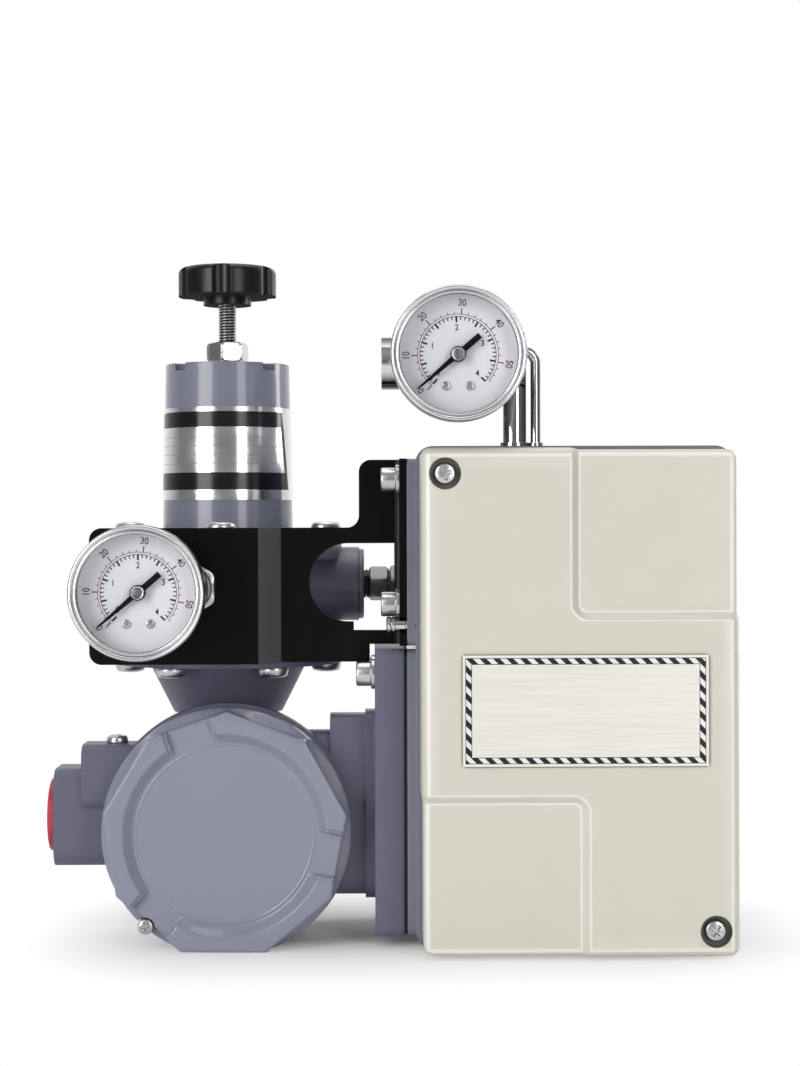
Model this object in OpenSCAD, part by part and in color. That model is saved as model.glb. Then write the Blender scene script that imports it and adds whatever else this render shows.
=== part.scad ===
// Valve positioner with an air-set regulator, two pressure gauges and a junction box.
// Millimetres. The origin is the centre of the case's bottom face, +X right, +Y to the rear, +Z up.

/* [Case] */
// Width of the case at its rim
case_w = 129; // [124:1:140]
// Height of the case
case_h = 204.5; // [200:0.5:215]
// Depth of the case behind its cover
case_d = 76; // [74:1:84]
// Thickness of the case's side walls
case_wall = 5; // [4:0.5:6]
// Thickness of the case's rear wall
back_wall = 6; // [5:0.5:8]
// Corner radius of the case
case_r = 7; // [5:0.5:10]
// How far the machined pads stand proud of the left side
pad_proud = 3.5; // [2:0.5:5]
// Horizontal spacing of the rear mounting holes
mount_dx = 100; // [90:1:104]
// Vertical spacing of the rear mounting holes
mount_dz = 160; // [150:1:164]
// Radius of the rear mounting holes
mount_r = 4; // [3:0.5:5]
// Depth of the rear mounting holes
mount_depth = 14; // [10:1:15]

/* [Cover] */
// Depth of the cover
cover_d = 25; // [22:1:30]
// Step from the rim of the case in to the cover
cover_inset = 1.5; // [1:0.25:2]
// Rounding of the cover's edges
cover_round = 4; // [2:0.5:5]
// Height of the raised field above the two recesses
field_step = 2.5; // [1.5:0.5:4]
// Inset of the recesses' outer sides behind the raised field
recess_inset = 0.8; // [0.4:0.2:1]
// Height of the lower edge of the upper recess
recess_top_z = 138.3; // [130:0.1:150]
// Height of the upper edge of the lower recess
recess_low_z = 61.9; // [50:0.1:70]
// Thickness of the cover's walls
cover_wall = 3; // [2.5:0.5:4]
// Thickness of the cover's gasket
gasket_t = 1; // [0.5:0.25:1.5]
// Distance of each cover screw from the case's side
screw_in_x = 11.2; // [11:0.1:13]
// Distance of each cover screw from the case's top or bottom
screw_in_z = 11.8; // [11:0.1:13]
// Width of the nameplate
plate_w = 97.6; // [80:0.1:105]
// Height of the nameplate
plate_h = 44.5; // [30:0.1:55]
// Thickness of the nameplate
plate_t = 0.8; // [0.5:0.1:1.2]
// Height of the nameplate's centre
plate_z = 99.2; // [95:0.1:103]

/* [Junction box] */
// Circumradius of the nine-sided cover
jb_r = 50.2; // [48:0.1:52]
// Thickness of the nine-sided cover
jb_cover_t = 20; // [16:1:24]
// Height of the grip segments above the cover's disc
jb_rim_h = 4; // [2:0.5:6]
// Radius of the flat disc inside the grip segments
jb_disc_r = 37.6; // [34:0.2:39]
// Radius of the box's round collar behind the cover
jb_collar_r = 52; // [51:0.5:54]
// Radius of the box
jb_body_r = 44; // [43:0.5:46]
// Depth of the box behind its cover
jb_body_d = 29; // [26:1:36]
// Distance from the case's pad to the box's axis
jb_reach = 74; // [72:1:82]
// Front of the cover behind the front of the case
jb_set_back = -5; // [-8:1:0]
// Thickness of the side flange
flange_t = 12; // [10:0.5:14]
// Height of the side flange
flange_h = 117; // [112:1:118]
// Depth of the side flange
flange_d = 44; // [42:1:48]
// Height of the side flange's lower edge
flange_z = 4.8; // [4:0.2:6]
// Height of the neck
neck_h = 75; // [70:1:78]
// Depth of the neck
neck_d = 38; // [34:1:40]
// Radius of the wire passage
wire_r = 12; // [8:0.5:14]
// Height and depth of the conduit boss
conduit_s = 40.4; // [38:0.2:44]
// Distance from the box's axis to the end of the conduit boss
conduit_reach = 72.5; // [70:0.5:80]
// Radius of the conduit's thread
conduit_r = 10.5; // [9:0.5:12]

/* [Regulator] */
// Distance from the case's left side to the regulator's axis
reg_off = 80.5; // [79:0.5:84]
// Regulator's axis behind the front of the case
reg_back = 63; // [62:0.5:64]
// Radius of the regulator's flanges
reg_flange_r = 49.5; // [48:0.5:50]
// Radius of the screw circles
reg_pcd_r = 42.6; // [41:0.2:43]
// Radius of the regulator's body
reg_r = 40; // [38:0.5:41]
// Drop from the ports' axis to the lower flange's joint
reg_drop = 29; // [28:0.5:30]
// Rise from the ports' axis to the diaphragm
reg_rise = 19; // [18:0.5:20]
// Height of the ports' axis
port_z = 147; // [145:0.5:148]
// Radius of the port bosses
port_boss_r = 16; // [14:0.5:17]
// Reach of the port bosses from the axis
port_reach = 57; // [55:0.5:58]
// Radius of the ports' threads
port_r = 6.5; // [6:0.1:7]
// Radius of the bonnet at its foot
bonnet_r = 28.2; // [27:0.1:29]
// Radius of the bonnet at its top
bonnet_top_r = 26.8; // [26:0.1:28]
// Height of the bonnet over the diaphragm
bonnet_h = 76; // [74:0.5:80]
// Place, width and depth of the slots in the bonnet's top edge
slot_x = 18.8; // [17:0.2:20]
slot_w = 4.6; // [4:0.2:6]
slot_h = 3.2; // [2.5:0.1:4]
// Radius of the bonnet's spring chamber
chamber_r = 23; // [21:0.5:23.5]
// Radius of the bowl at its flange
bowl_r = 34.5; // [33:0.5:36]
// Radius of the bowl at its foot
bowl_low_r = 23.6; // [22:0.2:25]
// Depth of the bowl below its flange's joint
bowl_h = 26; // [24:0.5:26.5]
// Radius of the knob over its lobes
knob_r = 21.2; // [20:0.1:23]
// Thickness of the knob
knob_t = 12.5; // [11:0.5:16]
// Height of the knob's underside
knob_z = 272; // [270:0.5:276]
// Rounding of the knob's upper edge
knob_edge = 3; // [1:0.5:4]
// Radius of the adjusting stud
stud_r = 4; // [3:0.5:5]

/* [Bracket] */
// Thickness of the bracket's sheet
sheet_t = 3; // [2:0.5:4]
// Depth of the joggle
joggle_d = 15; // [13:0.5:16]
// Height of the bracket's lower edge
bracket_z = 116; // [114:0.5:117]
// Height of the bracket's upper edge
bracket_top_z = 171.5; // [170:0.5:173]
// Height of the bracket's tab
tab_z = 199.5; // [196:0.5:200]
// Half height of the bracket's window
window_r = 18; // [17:0.5:19]
// Step up of the window's lower edge on its left
window_step = 3.6; // [2:0.2:5]

/* [Gauges] */
// Radius of the gauges' bezels
bezel_r = 26.9; // [26:0.1:28]
// Depth of the gauges
gauge_d = 27; // [26:0.5:30]
// Radius of the open dial
dial_open_r = 23.2; // [22:0.1:23.6]
// Pointer angle at rest, from the right-hand side
pointer_rest = 220.5; // [210:0.5:230]
// Distance of the left gauge from the regulator's axis
left_gauge_off = 29.6; // [28:0.2:31]
// Distance of the top gauge from the case's middle
top_gauge_off = 47.9; // [46:0.1:50]
// Height of the top gauge's axis over the case
top_gauge_rise = 35.4; // [34:0.1:40]

/* [Top fittings] */
// Radius of the gauge manifold
bar_r = 10.85; // [10:0.05:12]
// Length of the gauge manifold
bar_l = 59; // [57:0.5:62]
// Radius of the standpipe
pipe_r = 4.9; // [4:0.1:5]
// Radius of the signal tube
tube_r = 2.1; // [1.5:0.1:2.5]
// Bend radius of the signal tube
tube_bend = 5; // [4:0.5:6]

/* [Fits] */
// Clearance round screws, plugs and fixed rods
fit = 0.05; // [0.02:0.01:0.1]
// Clearance between pieces that move past each other
gap = 0.3; // [0.2:0.05:0.5]

/* [Hidden] */
$fn = 64;

case_y0 = -case_d / 2;
case_y1 = case_d / 2;
case_side = -case_w / 2;
case_mid_z = case_h / 2;
inner_w = case_w - 2 * case_wall;
inner_h = case_h - 2 * case_wall;
inner_back = case_y1 - back_wall;
cover_y1 = case_y0 - gasket_t;
cover_y0 = cover_y1 - cover_d;
cover_w = case_w - 2 * cover_inset;
cover_h = case_h - 2 * cover_inset;
pad_x = case_side - pad_proud;

// Cover screws: M5 pan heads at the top left and the bottom right
m5_r = 2.5;
m5_head_r = 4.5;
m5_head_h = 3.3;
cover_boss_r = 6;
counterbore_r = 6.3;
counterbore_d = 4;
cover_thread_d = 24;
cover_screw_at = [
    [case_side + screw_in_x, case_h - screw_in_z],
    [-case_side - screw_in_x, screw_in_z]
];

// M6 fasteners
m6_r = 3;
m6_head_r = 5;
m6_head_h = 6;
m6_pan_r = 6.5;
m6_pan_h = 4.6;
m6_low_h = 3.2;
washer_r = 6.2;
washer_t = 1.6;
m6_grip = 7;

// Junction box places
flange_gasket_t = 1.2;
flange_x1 = pad_x - flange_gasket_t;
flange_x0 = flange_x1 - flange_t;
flange_y0 = case_y0 + 2;
flange_yc = flange_y0 + flange_d / 2;
flange_zc = flange_z + flange_h / 2;
jb_x = pad_x - jb_reach;
jb_z = jb_r * cos(20);
jb_y0 = case_y0 + jb_set_back;
jb_y1 = jb_y0 + jb_cover_t;
jb_y2 = jb_y1 + jb_body_d;
jb_wall = 4;
jb_bore_r = 38.1;
spigot_l = 12;
seal_r = 41;
seal_w = 2.4;
seal_t = 2;
collar_t = 7;
lock_at = 229;
lock_r = 49.4;
lug_r = 2.4;
neck_y = jb_y1 + (jb_body_d - jb_wall) / 2;
neck_z = jb_z + 9;
neck_block_l = 18.6;
neck_block_edge = 4;
earth_reach = 60.5;
conduit_d = 31;
conduit_y = jb_y1 + conduit_d / 2 + 3;
conduit_z = jb_z + 3.8;
flange_screw_z = flange_z + flange_h - 10.4;
flange_low_z = flange_z + 11;
flange_screw_y = [flange_y0 + 8, flange_y0 + flange_d - 8];

// Regulator places
reg_x = case_side - reg_off;
reg_y = case_y0 + reg_back;
reg_low_z = port_z - reg_drop;
reg_mid_z = port_z + reg_rise;
bonnet_z = reg_mid_z + bonnet_h;
bowl_z = reg_low_z - bowl_h;
bowl_gasket_t = 0.5;
body_z0 = reg_low_z + bowl_gasket_t;
diaphragm_t = 0.8;
bonnet_z0 = reg_mid_z + diaphragm_t;
bonnet_flange_t = 4.2;
bonnet_flange_z = bonnet_z0 + bonnet_flange_t;
bowl_flange_t = 4.8;
web_z0 = body_z0 + 17.5;
web_z1 = reg_mid_z - 16;
low_cavity_r = 30;
pad_y = case_y0 + 4;
hex_off = 11.3;
port_thread = 14;
front_pad_w = 45;
front_pad_h = 26;
seat_t = 5;
seat_z = bonnet_z - 16;
low_seat_t = 3;
spring_wire_r = 1.9;
spring_r = 16;
valve_r = 7;
guide_r = 11;
guide_h = 18;
drain_r = 4;
drain_boss_r = 9;
drain_boss_z = bowl_z - 12;

// Bracket places
bracket_y = pad_y - sheet_t;
bracket_right_y = bracket_y + joggle_d;
bracket_left_x = reg_x - 52;
joggle_x = reg_x + 16;
joggle_w = 8.5;
bend_r = 2;
tab_x = pad_x - 19.6;
arm_x = flange_x0 - 2;
flange_edge_z = flange_z + flange_h + 1.5;
vent_r = 2.65;
vent_y = bracket_y + 3;
vent_z = port_z - window_r + vent_r + 0.1;
bracket_screw_y = (bracket_y + bracket_right_y) / 2 - 0.8;
bracket_screw_z = [tab_z - 8.5, vent_z + 8.3];

// Gauge places
gauge_y0 = cover_y0 - 4;
lip_t = 1.3;
lens_t = 2;
dial_t = 0.6;
dial_depth = 10;
gauge_case_r = bezel_r - lip_t - 0.1;
left_gauge_x = reg_x - left_gauge_off;
left_gauge_z = port_z - 1;
top_gauge_x = -top_gauge_off;
top_gauge_z = case_h + top_gauge_rise;

// Top fittings
bar_y = case_y0 + 20;
bar_x0 = top_gauge_x - 30.2;
bar_x1 = bar_x0 + bar_l;
bar_z = top_gauge_z - 0.4;
pipe_x = bar_x1 - pipe_r + 1.2;
tube_z = bar_z + 5;
tube_x = bar_x1 + tube_bend;

// Works inside the case, placed from the feedback shaft
shaft_z = case_mid_z;
shaft_r = 5;
plate_y1 = inner_back;
plate_y0 = plate_y1 - 4;
beam_z = shaft_z + 46;
beam_h = 3;
beam_d = 6;
yoke_h = 40;
yoke_w = 40;
arm_t = 8;
pivot_x = 8;
pin_r = 2;
nozzle_x = 36;
arm_r = 20;
lever_l = 80;
lever_y0 = case_y1 + 6;
lever_t = 4;
lever_hole_r = 3.25;

// Shared shapes

module prism_x(x0, x1) {
    translate([x0, 0, 0]) rotate([90, 0, 90]) linear_extrude(x1 - x0) children();
}

module prism_y(y0, y1) {
    translate([0, y1, 0]) rotate([90, 0, 0]) linear_extrude(y1 - y0) children();
}

module prism_z(z0, z1) {
    translate([0, 0, z0]) linear_extrude(z1 - z0) children();
}

module rod_x(r, x0, x1) {
    translate([x0, 0, 0]) rotate([0, 90, 0]) cylinder(r = r, h = x1 - x0);
}

module rod_y(r, y0, y1) {
    translate([0, y1, 0]) rotate([90, 0, 0]) cylinder(r = r, h = y1 - y0);
}

module rod_z(r, z0, z1) {
    translate([0, 0, z0]) cylinder(r = r, h = z1 - z0);
}

// A profile of radius against depth, turned about an axis along +Y
module turned_y(y0) {
    translate([0, y0, 0]) rotate([-90, 0, 0]) rotate_extrude() children();
}

// A rectangle with round corners, centred
module rounded(w, h, r) {
    square([w - 2 * r, h], center = true);
    square([w, h - 2 * r], center = true);
    for (sx = [-1, 1], sy = [-1, 1])
        translate([sx * (w / 2 - r), sy * (h / 2 - r)]) circle(r);
}

module hexagon(across) {
    circle(r = across / sqrt(3), $fn = 6);
}

// Fasteners point along -Z with the head's seat at z = 0
module pan_screw(r, length, head_r, head_h) {
    dome_r = head_r * 1.15;
    rod_z(r, -length, head_h / 2);
    intersection() {
        rod_z(head_r, 0, head_h);
        translate([0, 0, head_h - dome_r]) sphere(dome_r);
    }
}

module cap_screw(r, length, head_r, head_h) {
    difference() {
        union() {
            rod_z(r, -length, head_h / 2);
            rod_z(head_r, 0, head_h);
        }
        prism_z(head_h / 2, head_h + 1) hexagon(head_r);
    }
}

module washer(r, hole_r, t) {
    prism_z(0, t) difference() {
        circle(r);
        circle(hole_r);
    }
}

// Turns a fastener so that its head faces left, to the front or down
module head_left() {
    rotate([0, -90, 0]) children();
}

module head_front() {
    rotate([90, 0, 0]) children();
}

module head_down() {
    rotate([180, 0, 0]) children();
}

// A wire wound round +Z, as a swept tube with flat ends
module coil_spring(coil_r, wire_r, z0, z1, turns, steps, sides) {
    rings = turns * steps;
    rise = (z1 - z0 - 2 * wire_r) / rings;
    points = [
        for (i = [0:rings], j = [0:sides - 1])
            let (
                a = 360 * i / steps,
                b = 360 * j / sides,
                r = coil_r + wire_r * cos(b)
            )
            [r * cos(a), r * sin(a), z0 + wire_r + rise * i + wire_r * sin(b)]
    ];
    walls = [
        for (i = [0:rings - 1], j = [0:sides - 1], upper = [0, 1])
            let (
                k = (j + 1) % sides,
                a = i * sides,
                b = a + sides
            )
            upper == 1 ? [a + j, b + k, b + j] : [a + j, a + k, b + k]
    ];
    first = [for (j = [0:sides - 1]) sides - 1 - j];
    last = [for (j = [0:sides - 1]) rings * sides + j];
    polyhedron(points, concat(walls, [first, last]));
}

// A block with round front edges and round upright corners
module soft_block(x0, x1, z0, z1, y0, y1, r) {
    hull() {
        for (x = [x0 + r, x1 - r], z = [z0 + r, z1 - r]) {
            translate([x, y0 + r, z]) sphere(r, $fn = 28);
            translate([x, y1, z]) rotate([90, 0, 0]) cylinder(r = r, h = 0.2, $fn = 28);
        }
    }
}

// Positioner case

module case_shell() {
    difference() {
        translate([0, 0, case_mid_z]) prism_y(case_y0, case_y1) rounded(case_w, case_h, case_r);
        translate([0, 0, case_mid_z]) prism_y(case_y0 - 1, inner_back)
            rounded(inner_w, inner_h, case_r - 2);
    }
}

module case_bosses() {
    for (p = cover_screw_at)
        translate([p[0], 0, p[1]]) rod_y(cover_boss_r, cover_y1, inner_back + 1);
    for (sx = [-1, 1], sz = [-1, 1])
        translate([sx * mount_dx / 2, 0, case_mid_z + sz * mount_dz / 2])
            rod_y(mount_r + 4, inner_back - 10, inner_back + 1);
}

module case_pads() {
    prism_x(pad_x, case_side + 1)
        translate([flange_yc, flange_zc]) rounded(flange_d, flange_h, 4);
    prism_x(pad_x, case_side + 1)
        translate([(bracket_y + bracket_right_y + sheet_t) / 2, (flange_edge_z + tab_z) / 2])
            rounded(joggle_d + sheet_t, tab_z - flange_edge_z, 3);
    translate([0, reg_y, port_z]) rod_x(port_r + 5, pad_x, case_side + case_wall + 6);
}

module case_base() {
    color([0.5, 0.51, 0.56]) difference() {
        union() {
            case_shell();
            case_bosses();
            case_pads();
        }
        for (p = cover_screw_at)
            translate([p[0], 0, p[1]]) rod_y(m5_r + fit, cover_y1 - 1, cover_y1 + cover_thread_d);
        for (sx = [-1, 1], sz = [-1, 1])
            translate([sx * mount_dx / 2, 0, case_mid_z + sz * mount_dz / 2])
                rod_y(mount_r, case_y1 - mount_depth, case_y1 + 1);
        for (y = flange_screw_y) {
            translate([0, y, flange_screw_z]) rod_x(m6_r + fit, pad_x - 1, pad_x + m6_grip + 0.5);
            translate([0, y, flange_low_z]) rod_x(m6_r + fit, pad_x - 1, case_side + case_wall + 1);
        }
        translate([0, neck_y, neck_z]) rod_x(wire_r, pad_x - 1, case_side + case_wall + 1);
        for (z = bracket_screw_z)
            translate([0, bracket_screw_y, z]) rod_x(m6_r + fit, pad_x - 1, pad_x + m6_grip + 0.5);
        translate([0, vent_y, vent_z]) rod_x(vent_r + fit, pad_x - 1, case_side + case_wall + 1);
        translate([0, reg_y, port_z]) rod_x(port_r, pad_x - 1, case_side + case_wall + 7);
        translate([0, 0, shaft_z]) rod_y(shaft_r + 4, inner_back - 1, case_y1 + 1);
        translate([pipe_x, bar_y, 0]) rod_z(pipe_r + fit, case_h - case_wall - 1, case_h + 1);
        translate([tube_x, bar_y, 0]) rod_z(tube_r + fit, case_h - case_wall - 1, case_h + 1);
    }
}

// Rounds the inner corner of the raised field by c
module field_corner(c) {
    r = cover_round;
    difference() {
        prism_y(cover_y0 + 0.03, cover_y0 + field_step + 1) translate([-r, -r]) square(c + r);
        translate([c, 0, c]) turned_y(cover_y0) polygon(concat(
            [[0, -1], [c + r, -1]],
            [for (t = [0.03:0.495:field_step + 1]) [c + r - sqrt(r * r - (r - t) * (r - t)), t]],
            [[c, field_step + 2], [0, field_step + 2]]
        ));
    }
}

module cover_outer() {
    half_w = cover_w / 2;
    low = cover_inset;
    high = case_h - cover_inset;
    soft_block(-half_w + recess_inset, half_w - recess_inset, low + recess_inset,
        high - recess_inset, cover_y0 + field_step, cover_y1, cover_round);
    soft_block(-half_w, 0, recess_low_z, high, cover_y0, cover_y1, cover_round);
    soft_block(0, half_w, low, recess_top_z, cover_y0, cover_y1, cover_round);
    soft_block(-half_w / 2, half_w / 2, recess_low_z, recess_top_z, cover_y0, cover_y1, cover_round);
    translate([0, 0, recess_top_z]) field_corner(2);
    translate([0, 0, recess_low_z]) rotate([0, 180, 0]) field_corner(2);
}

module front_cover() {
    color([0.85, 0.84, 0.78]) difference() {
        union() {
            difference() {
                cover_outer();
                translate([0, 0, case_mid_z])
                    prism_y(cover_y0 + field_step + cover_wall, cover_y1 + 1)
                        rounded(inner_w - 0.5, inner_h - 0.5, case_r - 2);
            }
            for (p = cover_screw_at)
                translate([p[0], 0, p[1]]) rod_y(cover_boss_r, cover_y0 + counterbore_d + 1, cover_y1);
        }
        for (p = cover_screw_at) translate([p[0], 0, p[1]]) {
            rod_y(counterbore_r, cover_y0 - 1, cover_y0 + counterbore_d);
            rod_y(m5_r + fit, cover_y0, cover_y1 + 1);
        }
    }
}

module cover_gasket() {
    color([0.12, 0.12, 0.12]) translate([0, 0, case_mid_z]) prism_y(cover_y1, case_y0) difference() {
        rounded(cover_w - 2, cover_h - 2, case_r - 1);
        rounded(inner_w, inner_h, case_r - 2);
    }
}

module cover_screws() {
    length = cover_d - counterbore_d + cover_thread_d - 2;
    color([0.8, 0.8, 0.8]) for (p = cover_screw_at)
        translate([p[0], cover_y0 + counterbore_d, p[1]])
            head_front() pan_screw(m5_r, length, m5_head_r, m5_head_h);
}

module nameplate() {
    color([0.93, 0.92, 0.88]) translate([1.8, 0, plate_z])
        prism_y(cover_y0 - plate_t, cover_y0) rounded(plate_w, plate_h, 1.5);
}

// Works of the positioner

module mechanism_plate() {
    color([0.7, 0.7, 0.72]) difference() {
        union() {
            translate([0, 0, shaft_z]) prism_y(plate_y0, plate_y1) rounded(82, 125, 4);
            translate([-30, 0, shaft_z - 2]) rod_y(5, -2, plate_y0 + 1);
        }
        translate([0, 0, shaft_z]) rod_y(shaft_r + 7, plate_y0 - 1, plate_y1 + 1);
        translate([-30, 0, shaft_z - 2]) rod_y(pin_r + fit, -3, 20);
    }
}

module torque_motor_yoke() {
    low = beam_z - yoke_h / 2;
    color([0.35, 0.36, 0.38]) {
        translate([-yoke_w, plate_y0 - 14, low]) cube([yoke_w, 14, yoke_h]);
        for (z = [low, low + yoke_h - arm_t])
            translate([-yoke_w, -12, z]) cube([yoke_w, plate_y0 - 14 + 12.5, arm_t]);
    }
}

module torque_motor_magnet() {
    inner = yoke_h - 2 * arm_t;
    color([0.3, 0.3, 0.32]) translate([-yoke_w, -8, beam_z - inner / 2]) cube([5, 16, inner]);
}

module torque_motor_coil() {
    inner = yoke_h - 2 * arm_t;
    color([0.72, 0.42, 0.2]) translate([0, 0, beam_z]) difference() {
        rod_x(inner / 2 - 0.2, -yoke_w + 6, -5);
        rod_x(6, -yoke_w + 5, -4);
    }
}

module armature_pivot() {
    color([0.8, 0.8, 0.8]) translate([pivot_x, 0, beam_z]) {
        rod_y(pin_r, -beam_d / 2 - 3, plate_y0);
        rod_y(pin_r + 2.5, beam_d / 2 + gap, plate_y0);
        rod_y(pin_r + 1.5, -beam_d / 2 - 2, -beam_d / 2 - gap);
    }
}

module armature_beam() {
    color([0.75, 0.76, 0.78]) difference() {
        union() {
            translate([-yoke_w + 8, -beam_d / 2, beam_z - beam_h / 2])
                cube([yoke_w + nozzle_x - 4, beam_d, beam_h]);
            translate([pivot_x, 0, beam_z]) rod_y(pin_r + 3, -beam_d / 2, beam_d / 2);
        }
        translate([pivot_x, 0, beam_z]) rod_y(pin_r + fit, -beam_d, beam_d);
    }
}

module nozzle_block() {
    color([0.78, 0.66, 0.36]) {
        translate([nozzle_x - 6, -6, beam_z - 26]) cube([12, plate_y0 + 6, 18]);
        translate([nozzle_x, 0, 0]) rod_z(2.5, beam_z - 9, beam_z - beam_h / 2 - 1.2);
    }
}

module pilot_relay() {
    color([0.62, 0.63, 0.66]) translate([0, 0, shaft_z - 42]) {
        rod_y(18, -4, plate_y0);
        rod_y(20, -10, -4);
        rod_y(8, -14, -9);
    }
}

module zero_adjuster() {
    color([0.15, 0.15, 0.16]) translate([-30, 0, shaft_z - 2]) {
        rod_y(pin_r, -10, 18);
        rod_y(8, -14, -2 - gap);
    }
}

module feedback_shaft() {
    color([0.8, 0.8, 0.82]) translate([0, 0, shaft_z]) rod_y(shaft_r, -6, lever_y0 + 10);
}

module shaft_bush() {
    color([0.7, 0.55, 0.28]) translate([0, 0, shaft_z]) difference() {
        union() {
            rod_y(shaft_r + 4 - fit, inner_back - 1, case_y1 + 1);
            rod_y(shaft_r + 8, case_y1, case_y1 + 2);
        }
        rod_y(shaft_r + fit, inner_back - 2, case_y1 + 3);
    }
}

module feedback_arm() {
    color([0.6, 0.61, 0.63]) translate([0, 0, shaft_z]) prism_y(-3, 3) difference() {
        union() {
            circle(shaft_r + 4);
            translate([0, -4]) square([arm_r, 8]);
            translate([arm_r, 0]) circle(4);
        }
        circle(shaft_r + fit);
    }
}

module feedback_cam() {
    color([0.68, 0.69, 0.7]) translate([0, 0, shaft_z]) prism_y(8, 13) difference() {
        translate([3, 0]) circle(15);
        circle(shaft_r + fit);
    }
}

module feedback_spring() {
    low = shaft_z + 4.2;
    high = beam_z - beam_h / 2 - 0.2;
    color([0.7, 0.7, 0.7]) translate([arm_r - 2, 0, 0]) coil_spring(2.4, 0.5, low, high, 12, 10, 6);
}

module feedback_lever() {
    color([0.72, 0.73, 0.75]) translate([0, 0, shaft_z]) difference() {
        union() {
            rod_y(shaft_r + 6, lever_y0, lever_y0 + 8);
            prism_y(lever_y0, lever_y0 + lever_t) {
                translate([-8, -lever_l]) square([16, lever_l]);
                translate([0, -lever_l]) circle(8);
            }
        }
        rod_y(shaft_r + fit, lever_y0 - 1, lever_y0 + 9);
        translate([0, 0, -lever_l]) rod_y(lever_hole_r, lever_y0 - 1, lever_y0 + 9);
        prism_y(lever_y0 - 1, lever_y0 + lever_t + 1) {
            translate([-lever_hole_r, -lever_l + 18]) square([2 * lever_hole_r, 35]);
            for (z = [18, 53]) translate([0, -lever_l + z]) circle(lever_hole_r);
        }
        translate([0, lever_y0 + 6, 0]) rod_x(1.5 + fit, -shaft_r - 8, 0);
    }
}

module lever_clamp_screw() {
    color([0.75, 0.75, 0.77]) translate([-shaft_r - 6.2, lever_y0 + 6, shaft_z])
        head_left() pan_screw(1.5, 6, 2.6, 2);
}

// Junction box

module nonagon(r) {
    rotate(9) circle(r, $fn = 9);
}

module at_jb() {
    translate([jb_x, 0, jb_z]) children();
}

// Place of the lock screw on the box's collar
module at_lock() {
    at_jb() translate([lock_r * cos(lock_at), 0, lock_r * sin(lock_at)]) children();
}

module junction_box_body() {
    color([0.5, 0.51, 0.56]) difference() {
        union() {
            at_jb() rod_y(jb_collar_r, jb_y1, jb_y1 + collar_t);
            at_jb() rod_y(jb_body_r, jb_y1, jb_y2);
            prism_x(jb_x, flange_x0 + 1)
                translate([neck_y, neck_z]) rounded(neck_d - jb_wall - 11, neck_h - 14, 9);
            prism_x(flange_x0 - neck_block_l, flange_x0 - neck_block_edge)
                translate([neck_y, neck_z]) rounded(neck_d - jb_wall - 9, neck_h, 9);
            prism_x(flange_x0 - neck_block_edge, flange_x0 + 1)
                translate([neck_y, neck_z]) rounded(neck_d - jb_wall - 6, neck_h + 3, 10);
            prism_x(flange_x0, flange_x1)
                translate([flange_yc, flange_zc]) rounded(flange_d, flange_h, 3);
            prism_x(jb_x - conduit_reach, jb_x)
                translate([conduit_y, conduit_z]) rounded(conduit_d, conduit_s, 8);
            prism_x(jb_x - earth_reach, jb_x)
                translate([neck_y, jb_z + 21]) rounded(jb_body_d - 4, 27, 6);
            at_lock() rod_y(lug_r, jb_y0 + jb_rim_h + 2, jb_y1 + 1);
        }
        at_jb() rod_y(jb_bore_r, jb_y1 - 1, jb_y2 - jb_wall);
        at_jb() difference() {
            rod_y(seal_r + seal_w, jb_y1 - 1, jb_y1 + seal_t);
            rod_y(seal_r, jb_y1 - 2, jb_y1 + seal_t + 1);
        }
        translate([jb_x, neck_y, neck_z]) rod_x(wire_r, 0, -jb_x + pad_x);
        translate([jb_x, conduit_y, conduit_z]) rod_x(conduit_r, -conduit_reach - 1, 0);
        for (y = flange_screw_y) {
            translate([0, y, flange_screw_z]) rod_x(m6_r + fit, flange_x0 - 1, flange_x1 + 1);
            translate([0, y, flange_low_z]) rod_x(m6_r + fit, flange_x0 + 3, flange_x1 + 1);
        }
        translate([jb_x - 47, neck_y, 0]) rod_z(m5_r + fit, jb_z + 24, jb_z + 40);
        at_lock() rod_y(1.5 + fit, jb_y0, jb_y1);
        translate([jb_x - jb_collar_r - 1, jb_y1 - 1, -20]) cube([2 * jb_collar_r + 2, 60, 20]);
    }
}

module grip_gap(a) {
    rotate([0, -a, 0]) translate([jb_disc_r - 3, jb_y0 - 1, -9]) cube([20, jb_rim_h + 1, 18]);
}

module junction_box_cover() {
    color([0.5, 0.51, 0.56]) difference() {
        union() {
            at_jb() prism_y(jb_y0, jb_y1) nonagon(jb_r);
            at_jb() rod_y(jb_bore_r - 0.1, jb_y1 - 1, jb_y1 + spigot_l);
        }
        at_jb() turned_y(jb_y0 - 1)
            polygon([[0, 0], [jb_disc_r + jb_rim_h + 1, 0], [jb_disc_r, jb_rim_h + 1], [0, jb_rim_h + 1]]);
        at_jb() for (a = [109, 229, 349]) grip_gap(a);
        at_jb() rod_y(jb_bore_r - 4, jb_y0 + jb_rim_h + 5, jb_y1 + spigot_l + 1);
        at_lock() rod_y(lug_r + 1.4, jb_y0 - 1, jb_y1 + 1);
    }
}

module junction_box_seal() {
    color([0.1, 0.1, 0.1]) at_jb() turned_y(jb_y1)
        translate([seal_r, 0]) square([seal_w, seal_t]);
}

module cover_lock_screw() {
    color([0.8, 0.8, 0.8]) at_lock() translate([0, jb_y0 + jb_rim_h + 2, 0])
        head_front() pan_screw(1.5, 12, 3.3, 2.4);
}

module conduit_plug() {
    color([0.75, 0.2, 0.28]) translate([jb_x - conduit_reach, conduit_y, conduit_z]) {
        rod_x(15, -2.6, 0);
        rod_x(conduit_r - fit, -1, 12);
    }
}

module earth_screw() {
    color([0.78, 0.78, 0.8]) translate([jb_x - 47, neck_y, jb_z + 34.5])
        pan_screw(m5_r, 9, 4.6, 3.4);
}

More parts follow.
